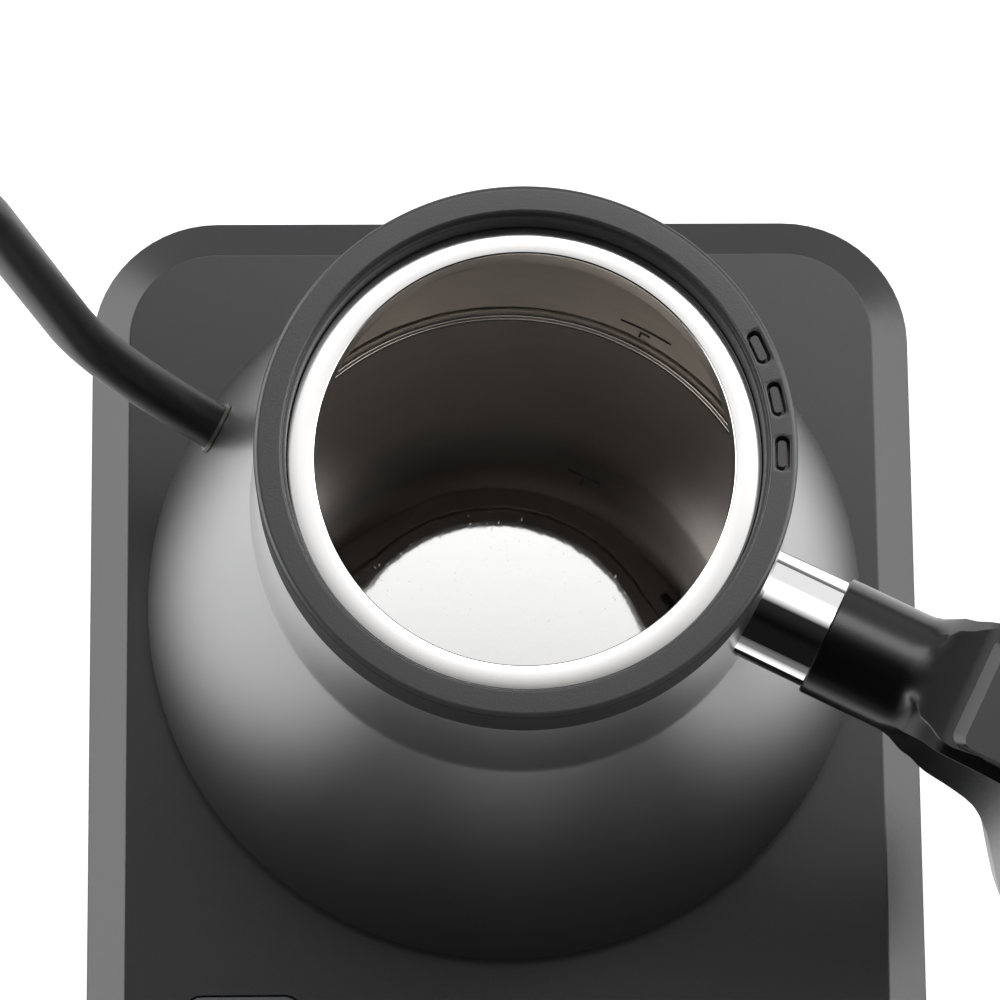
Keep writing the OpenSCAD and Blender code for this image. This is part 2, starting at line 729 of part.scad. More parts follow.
// stations along the tube's middle: distance from the axis, height, direction
function bend_at(p, a, b, r, k) = let (m = bend_mid(p, a, b, r), at = a + (b - a) * k)
    [each step(m, at + (b > a ? -90 : 90), r), at];
spout_stations = concat([[each spout_start, spout_leave]],
    [for (i = [0:low_bend_steps]) bend_at(spout_p1, spout_leave, spout_climb, spout_low_bend, i / low_bend_steps)],
    [for (i = [0:top_bend_steps]) bend_at(spout_p3, spout_climb, -spout_tip_angle, spout_top_bend, i / top_bend_steps)],
    [[each step(spout_p4, -spout_tip_angle, spout_tip), -spout_tip_angle]]);
// a ring of points round a station; the first ring is slid along the tube onto the body's slope
wall_normal = [cone_h - rim_round, 0, rim_r - shoulder_r];
function slid(p) = let (d = [cos(spout_leave), 0, sin(spout_leave)])
    p + d * (([spout_root + 0.02, 0, spout_z] - p) * wall_normal) / (d * wall_normal);
function tube_ring(i, rad) = let (s = spout_stations[i]) [for (j = [0:tube_sides - 1])
    let (t = 360 * j / tube_sides, p = [s[0] - rad * cos(t) * sin(s[2]), rad * sin(t), s[1] + rad * cos(t) * cos(s[2])])
    i == 0 ? slid(p) : p];

module spout_tube() {
    n = len(spout_stations);
    points = [for (rad = [tube_r, tube_in_r], i = [0:n - 1]) each tube_ring(i, rad)];
    function at(wall, i, j) = (wall * n + i) * tube_sides + j % tube_sides;
    sides = [for (i = [0:n - 2], j = [0:tube_sides - 1]) each [
        [at(0, i, j), at(0, i, j + 1), at(0, i + 1, j + 1), at(0, i + 1, j)],
        [at(1, i, j), at(1, i + 1, j), at(1, i + 1, j + 1), at(1, i, j + 1)]]];
    ends = [for (j = [0:tube_sides - 1]) each [
        [at(0, 0, j), at(1, 0, j), at(1, 0, j + 1), at(0, 0, j + 1)],
        [at(0, n - 1, j), at(0, n - 1, j + 1), at(1, n - 1, j + 1), at(1, n - 1, j)]]];
    color(satin_black) turned() rotate([0, 0, 180]) polyhedron(points, concat(sides, ends));
}
module body_solid(more) {
    rotate_extrude($fn = 180) polygon([[0, rim_z], [rim_r + more, rim_z],
        [rim_r + more, rim_z + rim_round], [shoulder_r + more, shoulder_z],
        [neck_top_r + more, neck_z], [0, neck_z]]);
}
module spout_ring() {
    color(steel) turned() rotate([0, 0, 180]) intersection() {
        straight(spout_start, spout_leave, 12 * steel_t, tube_r + seam_w, tube_r + 0.02);
        difference() {
            body_solid(seam_w);
            body_solid(0.02);
        }
    }
}
module spout_strainer() {
    wall_lean = atan((rim_r - shoulder_r) / (cone_h - rim_round));
    color(steel) turned() rotate([0, 0, 180]) translate([spout_root - steel_t - 1, 0, spout_z - 1.6])
        rotate([0, 90 - wall_lean, 0]) difference() {
            cylinder(r = tube_r + 3.5, h = 0.8);
            for (r = [0, 2.6], a = [0:60:300]) rotate([0, 0, a]) translate([r, 0, -1])
                cylinder(r = 0.8, h = 3, $fn = 24);
            for (a = [0:36:324]) rotate([0, 0, a]) translate([5, 0, -1]) cylinder(r = 0.8, h = 3, $fn = 24);
        }
}

// ---- handle, drawn along +X and then turned ----
module along_arm(from, to, r) {
    translate([from, 0, arm_z]) rotate([0, 90, 0]) cylinder(r = r, h = to - from);
}
module ferrule() {
    color(steel) turned() difference() {
        along_arm(arm_root - 6, ferrule_end + 1.5, ferrule_r);
        along_arm(arm_root - 8, ferrule_end + 8, ferrule_r - ferrule_t);
        body_solid(0.05);
    }
}
module handle_stud() {
    color(steel) turned() difference() {
        union() {
            along_arm(arm_root - 6, ferrule_end + 16, stud_r);
            along_arm(ferrule_end + 16 - eps, grip_back - grip_wall - 8, rod_r + 2);
        }
        body_solid(0.05);
    }
}
module handle_sleeve() {
    color(matt_black) turned() difference() {
        along_arm(ferrule_end, sleeve_end, sleeve_r);
        along_arm(ferrule_end - 1, ferrule_end + 1.6, ferrule_r + 0.05);
        along_arm(ferrule_end - 1, ferrule_end + 16.1, stud_r + 0.05);
        along_arm(ferrule_end + 10, sleeve_end + 1, rod_r + 2.1);
    }
}

// side view of the grip: distance from the axis and height
function lean(z) = grip_in + (arm_z - z) * tan(grip_lean);
function grip_side(inset) = [
    [sleeve_end + inset, grip_top - 3 - inset], [sleeve_end + 5 + inset, grip_top - inset],
    [grip_back - 4 - inset, grip_top - inset], [grip_back + 1 - inset, arm_z],
    [lean(arm_z - 40) + grip_t - inset, arm_z - 40], [lean(grip_foot) + grip_t - inset, grip_foot + inset],
    [lean(grip_foot) + inset, grip_foot + inset], [lean(arm_z - 20) + inset, arm_z - 20],
    [sleeve_end + 7 + inset, arm_z - sleeve_r - 4 + inset], [sleeve_end + inset, arm_z - sleeve_r + inset]];
// a bar along one long edge of the grip, which cuts a chamfer of c
module edge_bar(x, y, c) {
    mid_z = (arm_z + grip_foot) / 2;
    translate([lean(mid_z) + x, y, mid_z]) rotate([0, -grip_lean, 0]) rotate([0, 0, 45])
        cube([c * sqrt(2), c * sqrt(2), 2 * grip_l], center = true);
}

module grip_solid(inset) {
    w = grip_w - 2 * inset;
    difference() {
        rotate([90, 0, 0]) translate([0, 0, -w / 2]) linear_extrude(w) polygon(grip_side(inset));
        for (s = [-1, 1]) edge_bar(grip_t - inset, s * w / 2, grip_chamfer);
    }
}

module foot_zone(h) {
    translate([lean(grip_foot) - grip_t, -grip_w, grip_foot - 1]) cube([3 * grip_t, 2 * grip_w, h + 1]);
}
module grip_half(side) {
    difference() {
        intersection() {
            grip_solid(0);
            translate([0, side > 0 ? 0 : -grip_w, 0]) cube([200, grip_w, 200]);
        }
        difference() {
            grip_solid(grip_wall);
            for (p = grip_screw_at) translate([p[0], -grip_w, p[1]]) rotate([-90, 0, 0]) cylinder(r = 3.4, h = 2 * grip_w);
        }
        along_arm(sleeve_end - 1, grip_back - 14, rod_r + 2.1);
        for (p = grip_screw_at) translate([p[0], -grip_w, p[1]]) rotate([-90, 0, 0]) cylinder(r = screw_r, h = 2 * grip_w);
        foot_zone(cap_h);
        translate([sleeve_end + 4, -thumb_w / 2 - fit_gap, grip_top - thumb_t / 2]) cube([thumb_l + 2 * fit_gap, thumb_w + 2 * fit_gap, thumb_t]);
    }
}
thumb_w = grip_w - 4;
grip_screw_at = [for (z = [arm_z - 40, grip_foot + 22]) [lean(z) + grip_screw_in, z]];

module grip_left() { color(matt_black) turned() grip_half(1); }
module grip_right() { color(matt_black) turned() grip_half(-1); }

module thumb_plate() {
    color([0.1, 0.1, 0.1]) turned() translate([sleeve_end + 4 + fit_gap, -thumb_w / 2, grip_top - thumb_t / 2])
        cube([thumb_l, thumb_w, thumb_t * 0.8]);
}
module handle_rod() {
    top = arm_z - rod_r - 2 - rod_r * sin(grip_lean);
    color(steel) turned() translate([lean(top) + rod_in, 0, top]) rotate([0, 180 - grip_lean, 0])
        cylinder(r = rod_r - 0.5, h = (top - grip_foot - cap_h - 1) / cos(grip_lean) - rod_r * tan(grip_lean));
}
module grip_cap() {
    color([0.1, 0.1, 0.1]) turned() intersection() {
        grip_solid(0);
        foot_zone(cap_h - fit_gap);
    }
}
module grip_screws() {
    color(steel) turned() for (p = grip_screw_at) translate([p[0], -grip_w / 2 + 1, p[1]]) rotate([-90, 0, 0])
        cylinder(r = screw_r - fit_gap, h = grip_w - 2);
}

base_cover();
base_tray();
feet();
centre_foot();
base_screws();
plug_housing();
plug_contacts();
plug_seal();
key_power();
key_hold();
key_timer();
key_plus();
key_minus();
display_window();
display_module();
key_board();
key_switches();
main_board();
relay();
transformer();
capacitors();
terminal_block();
cord_gland();
cord_clamp();
socket_housing();
socket_contacts();
vessel();
floor_plate();
heat_spreader();
heater_ring();
thermostats();
temp_probe();
probe_seal();
jumper_wires();
bottom_skirt();
bottom_plate();
bottom_screws();
collar();
mouth_ring();
mouth_seal();
spout_tube();
spout_ring();
spout_strainer();
ferrule();
handle_stud();
handle_sleeve();
handle_rod();
grip_left();
grip_right();
thumb_plate();
grip_cap();
grip_screws();
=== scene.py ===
# Electric kettle on its power base: finished pieces, finishes, light and camera.
# Lengths are in millimetres until a piece is kept: out from the kettle's axis, up from the worktop.
import json
import math

import bmesh
import bpy
from mathutils import Matrix, Vector


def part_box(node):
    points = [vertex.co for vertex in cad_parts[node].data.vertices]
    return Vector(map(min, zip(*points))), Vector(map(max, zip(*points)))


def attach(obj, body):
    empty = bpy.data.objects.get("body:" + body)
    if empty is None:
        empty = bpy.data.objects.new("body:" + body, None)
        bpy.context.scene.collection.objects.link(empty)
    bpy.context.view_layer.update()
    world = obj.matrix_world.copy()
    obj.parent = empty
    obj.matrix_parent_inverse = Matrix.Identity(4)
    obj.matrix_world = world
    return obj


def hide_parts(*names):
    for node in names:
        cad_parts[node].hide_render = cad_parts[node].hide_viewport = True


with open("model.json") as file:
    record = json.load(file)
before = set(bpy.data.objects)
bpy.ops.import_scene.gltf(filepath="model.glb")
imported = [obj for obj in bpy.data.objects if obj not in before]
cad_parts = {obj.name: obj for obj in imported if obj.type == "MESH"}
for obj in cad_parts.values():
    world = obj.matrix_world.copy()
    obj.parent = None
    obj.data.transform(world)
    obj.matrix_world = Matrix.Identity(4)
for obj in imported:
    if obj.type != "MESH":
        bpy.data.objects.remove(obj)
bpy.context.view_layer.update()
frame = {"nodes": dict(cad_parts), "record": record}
scene = bpy.context.scene
nodes = frame["nodes"]
mm = 0.001
handleAngle = -26.2  # degrees round the axis; the spout points the other way
handleTurn = Matrix.Rotation(math.radians(handleAngle), 4, "Z")
spoutTurn = Matrix.Rotation(math.radians(handleAngle + 180), 4, "Z")
print("frame loaded:", len(nodes), "nodes")

# the camera's place in metres, and the directions to its right and upwards
view = {
    "place": (-0.023898, -0.163541, 0.923107),
    "right": (0.9996657, -0.00954099, 0.02403048),
    "up": (0.00443842, 0.978952, 0.20404237),
    "lens": 158.4, "sensor": 36.0, "near": 0.01, "far": 20,
}


def makeCamera(v):
    right = Vector(v["right"]).normalized()
    upward = Vector(v["up"])
    upward = (upward - right * upward.dot(right)).normalized()
    back = right.cross(upward)
    cam = bpy.data.cameras.new("studioCamera")
    cam.sensor_fit = "HORIZONTAL"
    cam.sensor_width = v["sensor"]
    cam.lens = v["lens"]
    cam.clip_start = v["near"]
    cam.clip_end = v["far"]
    ob = bpy.data.objects.new("studioCamera", cam)
    scene.collection.objects.link(ob)
    turn = Matrix((right, upward, back)).transposed().to_4x4()
    ob.matrix_world = Matrix.Translation(Vector(v["place"])) @ turn
    scene.camera = ob


makeCamera(view)
print("camera placed")


class Value:
    # a socket in a plain expression: each sign adds a Math node

    def __init__(self, finish, socket):
        self.finish = finish
        self.socket = socket

    def maths(self, kind, first, second):
        return self.finish.add("ShaderNodeMath", {"operation": kind}, {0: first, 1: second})[0]

    def __add__(self, other):
        return self.maths("ADD", self, other)

    __radd__ = __add__

    def __sub__(self, other):
        return self.maths("SUBTRACT", self, other)

    def __rsub__(self, other):
        return self.maths("SUBTRACT", other, self)

    def __mul__(self, other):
        return self.maths("MULTIPLY", self, other)

    __rmul__ = __mul__

    def __pow__(self, other):
        return self.maths("POWER", self, other)


class Outputs:
    def __init__(self, finish, node):
        self.finish = finish
        self.node = node

    def __getitem__(self, key):
        return Value(self.finish, self.node.outputs[key])


class Finish:
    # fixed values are named as the shader's sockets, with _ for a space

    def __init__(self, name, **fixed):
        self.material = bpy.data.materials.new(name)
        self.material.use_nodes = True
        self.tree = self.material.node_tree
        self.shader = self.tree.nodes["Principled BSDF"]
        self.place = self.add("ShaderNodeTexCoord")["Object"]
        self.feed(**fixed)

    def add(self, kind, settings=None, sockets=None):
        node = self.tree.nodes.new(kind)
        for key, value in (settings or {}).items():
            if key == "stops":
                for i, (at, grey) in enumerate(value):
                    node.color_ramp.elements[i].position = at
                    node.color_ramp.elements[i].color = (grey, grey, grey, 1)
            else:
                setattr(node, key, value)
        for key, value in (sockets or {}).items():
            self.plug(node.inputs[key], value)
        return Outputs(self, node)

    def plug(self, socket, value):
        if isinstance(value, Value):
            self.tree.links.new(value.socket, socket)
        else:
            socket.default_value = value

    def feed(self, **sockets):
        for socket, value in sockets.items():
            self.plug(self.shader.inputs[socket.replace("_", " ")], value)

    def noise(self, scale, detail=3, roughness=0.5, at=None):
        sockets = {"Vector": at or self.place, "Scale": scale, "Detail": detail,
                   "Roughness": roughness}
        return self.add("ShaderNodeTexNoise", None, sockets)[0]

    def bump(self, height, strength, distance):
        sockets = {"Height": height, "Strength": strength, "Distance": distance}
        return self.add("ShaderNodeBump", None, sockets)[0]

    def ramp(self, value, start, end):
        sockets = {0: value, 1: start, 2: end, 3: 0.0, 4: 1.0}
        return self.add("ShaderNodeMapRange", None, sockets)[0]

    def blend(self, amount, a, b):
        mix = self.add("ShaderNodeMix", {"data_type": "RGBA"}, {0: amount})
        for key, value in ((6, a), (7, b)):
            self.plug(mix.node.inputs[key], value if isinstance(value, Value) else (*value, 1))
        return mix[2]


def tinted(colour, share):
    return tuple(min(1, c * share) for c in colour)


def satinPaint(name, colour, rough, grain, ior, coat=0.0):
    # sprayed satin finish with a fine orange peel
    f = Finish(name, IOR=ior, Coat_Weight=coat, Coat_Roughness=0.3)
    cloud = f.noise(scale=14, detail=2)
    fine = f.noise(scale=5200, detail=2)
    f.feed(Base_Color=f.blend(cloud, tinted(colour, 0.9), tinted(colour, 1.12)))
    f.feed(Roughness=rough - 0.03 + cloud * 0.04 + fine * 0.03)
    f.feed(Normal=f.bump(fine, strength=grain, distance=0.00012))
    return f.material


def mouldedPlastic(name, colour, rough, grain=0.25, scale=2600, ior=1.46):
    # moulded plastic with a fine eroded texture and slight handling wear
    f = Finish(name, IOR=ior)
    cloud = f.noise(scale=30)
    fine = f.noise(scale, roughness=0.6)
    f.feed(Base_Color=f.blend(cloud * 0.7 + fine * 0.3, tinted(colour, 0.88), tinted(colour, 1.15)))
    f.feed(Roughness=rough - 0.04 + cloud * 0.08)
    f.feed(Normal=f.bump(fine, strength=grain, distance=0.0001))
    return f.material


def plainMetal(name, colour, rough, wear=0.05):
    # clean metal with a little smear and fine upright scratches
    f = Finish(name, Metallic=1.0)
    smear = f.noise(scale=60)
    sockets = {"Vector": f.place, "Scale": (900, 900, 60)}
    stretched = f.add("ShaderNodeMapping", None, sockets)[0]
    scratch = f.noise(scale=1, roughness=0.6, at=stretched)
    f.feed(Base_Color=f.blend(smear, tinted(colour, 0.93), colour))
    f.feed(Roughness=rough + smear * wear)
    f.feed(Normal=f.bump(scratch, strength=0.05, distance=0.00002))
    return f.material


def brushedSteel(name, colour, rough, paintedLightFrom, paintedLightTo):
    # steel brushed round the kettle's axis, with painted light and shade: lighter from one height
    # in metres down to another, darker above it
    f = Finish(name, Metallic=1.0)
    apart = f.add("ShaderNodeSeparateXYZ", None, {"Vector": f.place})
    radius = (apart[0] ** 2 + apart[1] ** 2) ** 0.5
    around = f.add("ShaderNodeMath", {"operation": "ARCTAN2"}, {0: apart[1], 1: apart[0]})[0]

    def brushed(turn, out, rise):
        return f.add("ShaderNodeCombineXYZ", None,
                     {0: around * turn, 1: radius * out, 2: apart[2] * rise})[0]

    grain = f.noise(scale=1, detail=4, roughness=0.65, at=brushed(turn=3, out=2600, rise=5200))
    broad = f.noise(scale=1, at=brushed(turn=5, out=300, rise=420))
    # painted light low on the wall, painted shade up in the neck
    paintedLight = f.ramp(apart[2], paintedLightFrom, paintedLightTo)
    dark = f.blend(paintedLight, tinted(colour, 0.75), tinted(colour, 1.9))
    light = f.blend(paintedLight, tinted(colour, 1.15), tinted(colour, 2.65))
    f.feed(Base_Color=f.blend(grain * 0.6 + broad * 0.4, dark, light))
    f.feed(Roughness=rough - 0.06 + grain * 0.1 + broad * 0.05)
    f.feed(Normal=f.bump(grain, strength=0.3, distance=0.00004))
    return f.material


def mirrorSteel(name, colour, rough):
    # pressed steel polished like a mirror, with faint ripples and specks
    f = Finish(name, Metallic=1.0)
    ripple = f.noise(scale=190)
    speck = f.noise(scale=1500, detail=1)
    dots = f.add("ShaderNodeValToRGB", {"stops": ((0.7, 0.0), (0.76, 1.0))}, {0: speck})[0]
    f.feed(Base_Color=f.blend(dots * 0.25, colour, tinted(colour, 0.8)))
    f.feed(Roughness=rough + dots * 0.1)
    f.feed(Normal=f.bump(ripple, strength=0.02, distance=0.0003))
    return f.material


def darkGlass(name):
    # smoked display window
    f = Finish(name, IOR=1.5, Coat_Weight=0.6, Coat_Roughness=0.03)
    smear = f.noise(scale=45)
    f.feed(Base_Color=f.blend(smear, (0.004, 0.004, 0.005), (0.008, 0.008, 0.01)))
    f.feed(Roughness=0.06 + smear * 0.06)
    return f.material


def circuitBoard(name):
    # green solder mask with faint traces
    f = Finish(name, IOR=1.5)
    lanes = f.add("ShaderNodeTexBrick", {"offset": 0.5}, {
        "Vector": f.place, "Scale": 90, "Mortar Size": 0.03, "Mortar": (0.06, 0.3, 0.12, 1),
        "Color1": (0.01, 0.13, 0.05, 1), "Color2": (0.012, 0.16, 0.07, 1),
    })
    f.feed(Base_Color=lanes["Color"], Roughness=0.35 + f.noise(scale=300) * 0.2)
    return f.material


def woundCopper(name):
    # enamelled copper winding
    f = Finish(name, Metallic=0.6)
    sockets = {"Vector": f.place, "Scale": 380}
    turns = f.add("ShaderNodeTexWave", {"bands_direction": "X"}, sockets)["Fac"]
    f.feed(Base_Color=f.blend(turns, (0.28, 0.1, 0.03), (0.6, 0.27, 0.1)))
    f.feed(Roughness=0.3 + turns * 0.2)
    f.feed(Normal=f.bump(turns, strength=0.5, distance=0.0004))
    return f.material


# each finish: what makes it, and its colour and wear
recipes = {
    "bodyPaint": (satinPaint, {
        "colour": (0.0085, 0.0085, 0.0096), "rough": 0.34, "grain": 0.16, "ior": 1.68,
        "coat": 0.95}),
    "spoutPaint": (satinPaint, {
        "colour": (0.004, 0.004, 0.0044), "rough": 0.42, "grain": 0.14, "ior": 1.42}),
    "basePaint": (satinPaint, {
        "colour": (0.0115, 0.0115, 0.0127), "rough": 0.3, "grain": 0.2, "ior": 1.45}),
    "collarPlastic": (mouldedPlastic, {"colour": (0.024, 0.024, 0.0255), "rough": 0.32}),
    # the collar's outer side: a darker, duller copy of the collar plastic, painted shade
    "collarSide": (mouldedPlastic, {"colour": (0.005, 0.005, 0.0055), "rough": 0.7, "ior": 1.22}),
    "handlePlastic": (mouldedPlastic, {
        "colour": (0.002, 0.002, 0.0022), "rough": 0.24, "grain": 0.1, "ior": 1.46}),
    "thumbPlastic": (mouldedPlastic, {
        "colour": (0.012, 0.012, 0.013), "rough": 0.3, "grain": 0.1}),
    "keyPlastic": (mouldedPlastic, {"colour": (0.05, 0.05, 0.053), "rough": 0.34, "grain": 0.12}),
    "wallMark": (mouldedPlastic, {"colour": (0.03, 0.028, 0.026), "rough": 0.6, "grain": 0.1}),
    # the kettle's inside: painted light low on the wall, painted shade in the neck
    "brushedSteel": (brushedSteel, {
        "colour": (0.33, 0.305, 0.28), "rough": 0.34, "paintedLightFrom": 0.15, "paintedLightTo": 0.125}),
    "mirrorSteel": (mirrorSteel, {"colour": (0.93, 0.925, 0.92), "rough": 0.03}),
    "polishedSteel": (plainMetal, {"colour": (0.86, 0.85, 0.84), "rough": 0.1, "wear": 0.06}),
    "chrome": (plainMetal, {"colour": (0.9, 0.9, 0.9), "rough": 0.03, "wear": 0.03}),
    # darkened steel: on the vent floors its darkness is painted shade; the spout ring takes it too
    "ventMetal": (plainMetal, {"colour": (0.19, 0.173, 0.157), "rough": 0.42}),
    "screwSteel": (plainMetal, {"colour": (0.6, 0.6, 0.6), "rough": 0.3, "wear": 0.1}),
    "castAluminium": (plainMetal, {"colour": (0.72, 0.73, 0.74), "rough": 0.5, "wear": 0.15}),
    "heaterSheath": (plainMetal, {"colour": (0.32, 0.3, 0.27), "rough": 0.45, "wear": 0.15}),
    "brass": (plainMetal, {"colour": (0.75, 0.52, 0.2), "rough": 0.28, "wear": 0.1}),
    "blackPlastic": (mouldedPlastic, {"colour": (0.012, 0.012, 0.013), "rough": 0.5}),
    "rubber": (mouldedPlastic, {
        "colour": (0.018, 0.018, 0.018), "rough": 0.75, "grain": 0.4, "scale": 1800}),
    "silicone": (mouldedPlastic, {"colour": (0.45, 0.08, 0.05), "rough": 0.6}),
    "wireSleeve": (mouldedPlastic, {"colour": (0.5, 0.03, 0.02), "rough": 0.45}),
    "terminalPlastic": (mouldedPlastic, {"colour": (0.03, 0.25, 0.09), "rough": 0.45}),
    "partPlastic": (mouldedPlastic, {"colour": (0.03, 0.05, 0.14), "rough": 0.4}),
    "circuitBoard": (circuitBoard, {}),
    "woundCopper": (woundCopper, {}),
    "darkGlass": (darkGlass, {}),
}
finish = {name: make(name, **values) for name, (make, values) in recipes.items()}
print("finishes made:", len(finish))


def shade(bm, sharp=32):
    # edges that turn by more than the angle stay sharp
    for face in bm.faces:
        face.smooth = True
    for edge in bm.edges:
        turn = edge.calc_face_angle() if len(edge.link_faces) == 2 else math.pi
        edge.smooth = turn < math.radians(sharp)


def keep(bm, name, body, looks, stands=(), turn=None, sharp=32, pick=None):
    # closes the shape, puts it in its place and makes it a piece of that body
    bmesh.ops.remove_doubles(bm, verts=bm.verts[:], dist=0.002)
    bmesh.ops.recalc_face_normals(bm, faces=bm.faces[:])
    shade(bm, sharp)
    if pick:
        for face in bm.faces:
            face.material_index = pick(face)
    place = Matrix.Scale(mm, 4)
    bmesh.ops.transform(bm, matrix=place @ turn if turn else place, verts=bm.verts[:])
    mesh = bpy.data.meshes.new(name)
    bm.to_mesh(mesh)
    bm.free()
    for look in [looks] if isinstance(looks, str) else looks:
        mesh.materials.append(finish[look])
    ob = bpy.data.objects.new(name, mesh)
    scene.collection.objects.link(ob)
    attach(ob, body)
    if stands:
        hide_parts(*stands)
    return ob


def rounded(bm, corners, radius, segments):
    bmesh.ops.bevel(bm, geom=corners, offset=radius, offset_type="OFFSET", segments=segments,
                    profile=0.5, affect="VERTICES", material=-1, clamp_overlap=True)


def spun(outline, steps=256, segments=6):
    # a closed outline of (distance, height, rounding) turned about the axis
    bm = bmesh.new()
    points = [bm.verts.new((r, 0, z)) for r, z, _ in outline]
    for a, b in zip(points, points[1:] + points[:1]):
        bm.edges.new((a, b))
    for size in sorted({corner for _, _, corner in outline if corner > 0}):
        alike = [point for point, line in zip(points, outline) if line[2] == size]
        rounded(bm, alike, size, segments)
    bmesh.ops.spin(bm, geom=bm.verts[:] + bm.edges[:], cent=(0, 0, 0), axis=(0, 0, 1),
                   dvec=(0, 0, 0), angle=2 * math.pi, steps=steps, use_merge=True,
                   use_normal_flip=False, use_duplicate=False)
    return bm


def slab(bm, width, depth, radius, low, high, at=(0, 0), segments=8, turn=None):
    # an upright slab with rounded corners; gives back its top face
    before = set(bm.verts)
    corners = [bm.verts.new((at[0] + sx * width / 2, at[1] + sy * depth / 2, low))
               for sx, sy in ((-1, -1), (1, -1), (1, 1), (-1, 1))]
    bm.faces.new(corners)
    most = 0.96  # a full half circle would leave no straight side
    rounded(bm, corners, min(radius, most * width / 2, most * depth / 2), segments)
    foot = [f for f in bm.faces if not before.intersection(f.verts)][0]
    out = bmesh.ops.extrude_face_region(bm, geom=[foot], use_keep_orig=True)
    raised = [g for g in out["geom"] if isinstance(g, bmesh.types.BMVert)]
    bmesh.ops.translate(bm, vec=(0, 0, high - low), verts=raised)
    top = [g for g in out["geom"] if isinstance(g, bmesh.types.BMFace)][0]
    if turn:
        own = [v for v in bm.verts if v not in before]
        bmesh.ops.transform(bm, matrix=turn, verts=own)
    return top


def drill(bm, radius, depth, place, segments):
    bmesh.ops.create_cone(bm, cap_ends=True, cap_tris=False, segments=segments, radius1=radius,
                          radius2=radius, depth=depth, matrix=place)


def softened(bm, width, over, below, above):
    # a small round on the edges above a height that turn by an angle between two limits
    edges = [e for e in bm.edges if len(e.link_faces) == 2
             and math.radians(over) < e.calc_face_angle() < math.radians(below)
             and min(v.co.z for v in e.verts) > above]
    bmesh.ops.bevel(bm, geom=edges, offset=width, offset_type="OFFSET", segments=3, profile=0.5,
                    affect="EDGES", material=-1, clamp_overlap=True, loop_slide=True)


def cutBy(ob, cutter):
    # takes the cutter's shape out of a piece
    bmesh.ops.recalc_face_normals(cutter, faces=cutter.faces[:])
    bmesh.ops.transform(cutter, matrix=Matrix.Scale(mm, 4), verts=cutter.verts[:])
    mesh = bpy.data.meshes.new("cutter")
    cutter.to_mesh(mesh)
    cutter.free()
    tool = bpy.data.objects.new("cutter", mesh)
    scene.collection.objects.link(tool)
    change = ob.modifiers.new("cut", "BOOLEAN")
    change.operation = "DIFFERENCE"
    change.solver = "EXACT"
    change.object = tool
    bpy.context.view_layer.update()
    evaluated = ob.evaluated_get(bpy.context.evaluated_depsgraph_get())
    result = bpy.data.meshes.new_from_object(evaluated)
    result.name = ob.data.name
    ob.modifiers.clear()
    ob.data = result
    bpy.data.objects.remove(tool)
    bpy.data.meshes.remove(mesh)
    bm = bmesh.new()
    bm.from_mesh(result)
    shade(bm)
    bm.to_mesh(result)
    bm.free()


def evenShading(ob):
    change = ob.modifiers.new("evenShading", "WEIGHTED_NORMAL")
    change.keep_sharp = True
    change.weight = 80


def middleAndSize(node):
    lo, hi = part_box(node)
    return (lo + hi) / 2 / mm, (hi - lo) / mm


# the five keys: each node's piece, and the shape that they share
keys = {
    "pieces": {"key_power": "powerKey", "key_hold": "holdKey", "key_timer": "timerKey",
               "key_plus": "plusKey", "key_minus": "minusKey"},
    "corner": 3.0, "edge": 0.45, "flange": 0.9, "flangeLow": 26.0, "flangeHigh": 27.2,
    "stem": 2.2,
}

# the power base, with openings for keys, display window, round connector and cord
base = {
    "width": 171.2, "depth": 223.2, "middleY": -28.4, "corner": 26.0, "low": 4.5, "high": 30.0,
    "slopeIn": 8.0, "slopeDrop": 5.0, "edgeRound": 0.3, "wall": 2.5, "cutFrom": 20.0, "cutTo": 40.0,
    "keyGap": 0.4, "keyCorner": 3.4, "windowGap": 0.15, "windowCorner": 2.5, "windowSeat": 28.6,
    "windowLedge": 1.5, "plugHole": 21.1, "plugAt": 35.0, "cordHole": 5.5, "cordAt": (-47.6, 14.0),
    "holeDeep": 20.0,
}


def bevelledSlab(b, inset, high):
    bm = bmesh.new()
    top = slab(bm, b["width"] - 2 * inset, b["depth"] - 2 * inset, b["corner"] - inset,
               b["low"] - (1 if inset else 0), high - b["slopeDrop"], (0, b["middleY"]), 14)
    bmesh.ops.inset_region(bm, faces=[top], thickness=b["slopeIn"], depth=0, use_even_offset=True)
    bmesh.ops.translate(bm, vec=(0, 0, b["slopeDrop"]), verts=top.verts)
    return bm


def makeBase(b, k):
    bm = bevelledSlab(b, 0, b["high"])
    softened(bm, b["edgeRound"], over=20, below=80, above=b["low"] + 1)
    shell = keep(bm, "baseShell", "base", "basePaint", ["base_cover"])
    cutBy(shell, bevelledSlab(b, b["wall"], b["high"] - b["wall"]))
    holes = bmesh.new()
    for node in k["pieces"]:
        mid, size = middleAndSize(node)
        slab(holes, size.x - 2 * k["flange"] + 2 * b["keyGap"],
             size.y - 2 * k["flange"] + 2 * b["keyGap"], b["keyCorner"], b["cutFrom"], b["cutTo"],
             (mid.x, mid.y), 6)
    mid, size = middleAndSize("display_window")
    slab(holes, size.x + 2 * b["windowGap"], size.y + 2 * b["windowGap"], b["windowCorner"],
         b["windowSeat"], b["cutTo"], (mid.x, mid.y), 6)
    slab(holes, size.x - 2 * b["windowLedge"], size.y - 2 * b["windowLedge"], b["windowLedge"],
         b["cutFrom"], b["windowSeat"] + 0.4, (mid.x, mid.y), 4)
    drill(holes, b["plugHole"], b["holeDeep"], Matrix.Translation((0, 0, b["plugAt"])), 96)
    across, height = b["cordAt"]
    inlet = Matrix.Translation((across, b["middleY"] + b["depth"] / 2, height))
    drill(holes, b["cordHole"], b["holeDeep"], inlet @ Matrix.Rotation(math.pi / 2, 4, "X"), 48)
    cutBy(shell, holes)
    evenShading(shell)


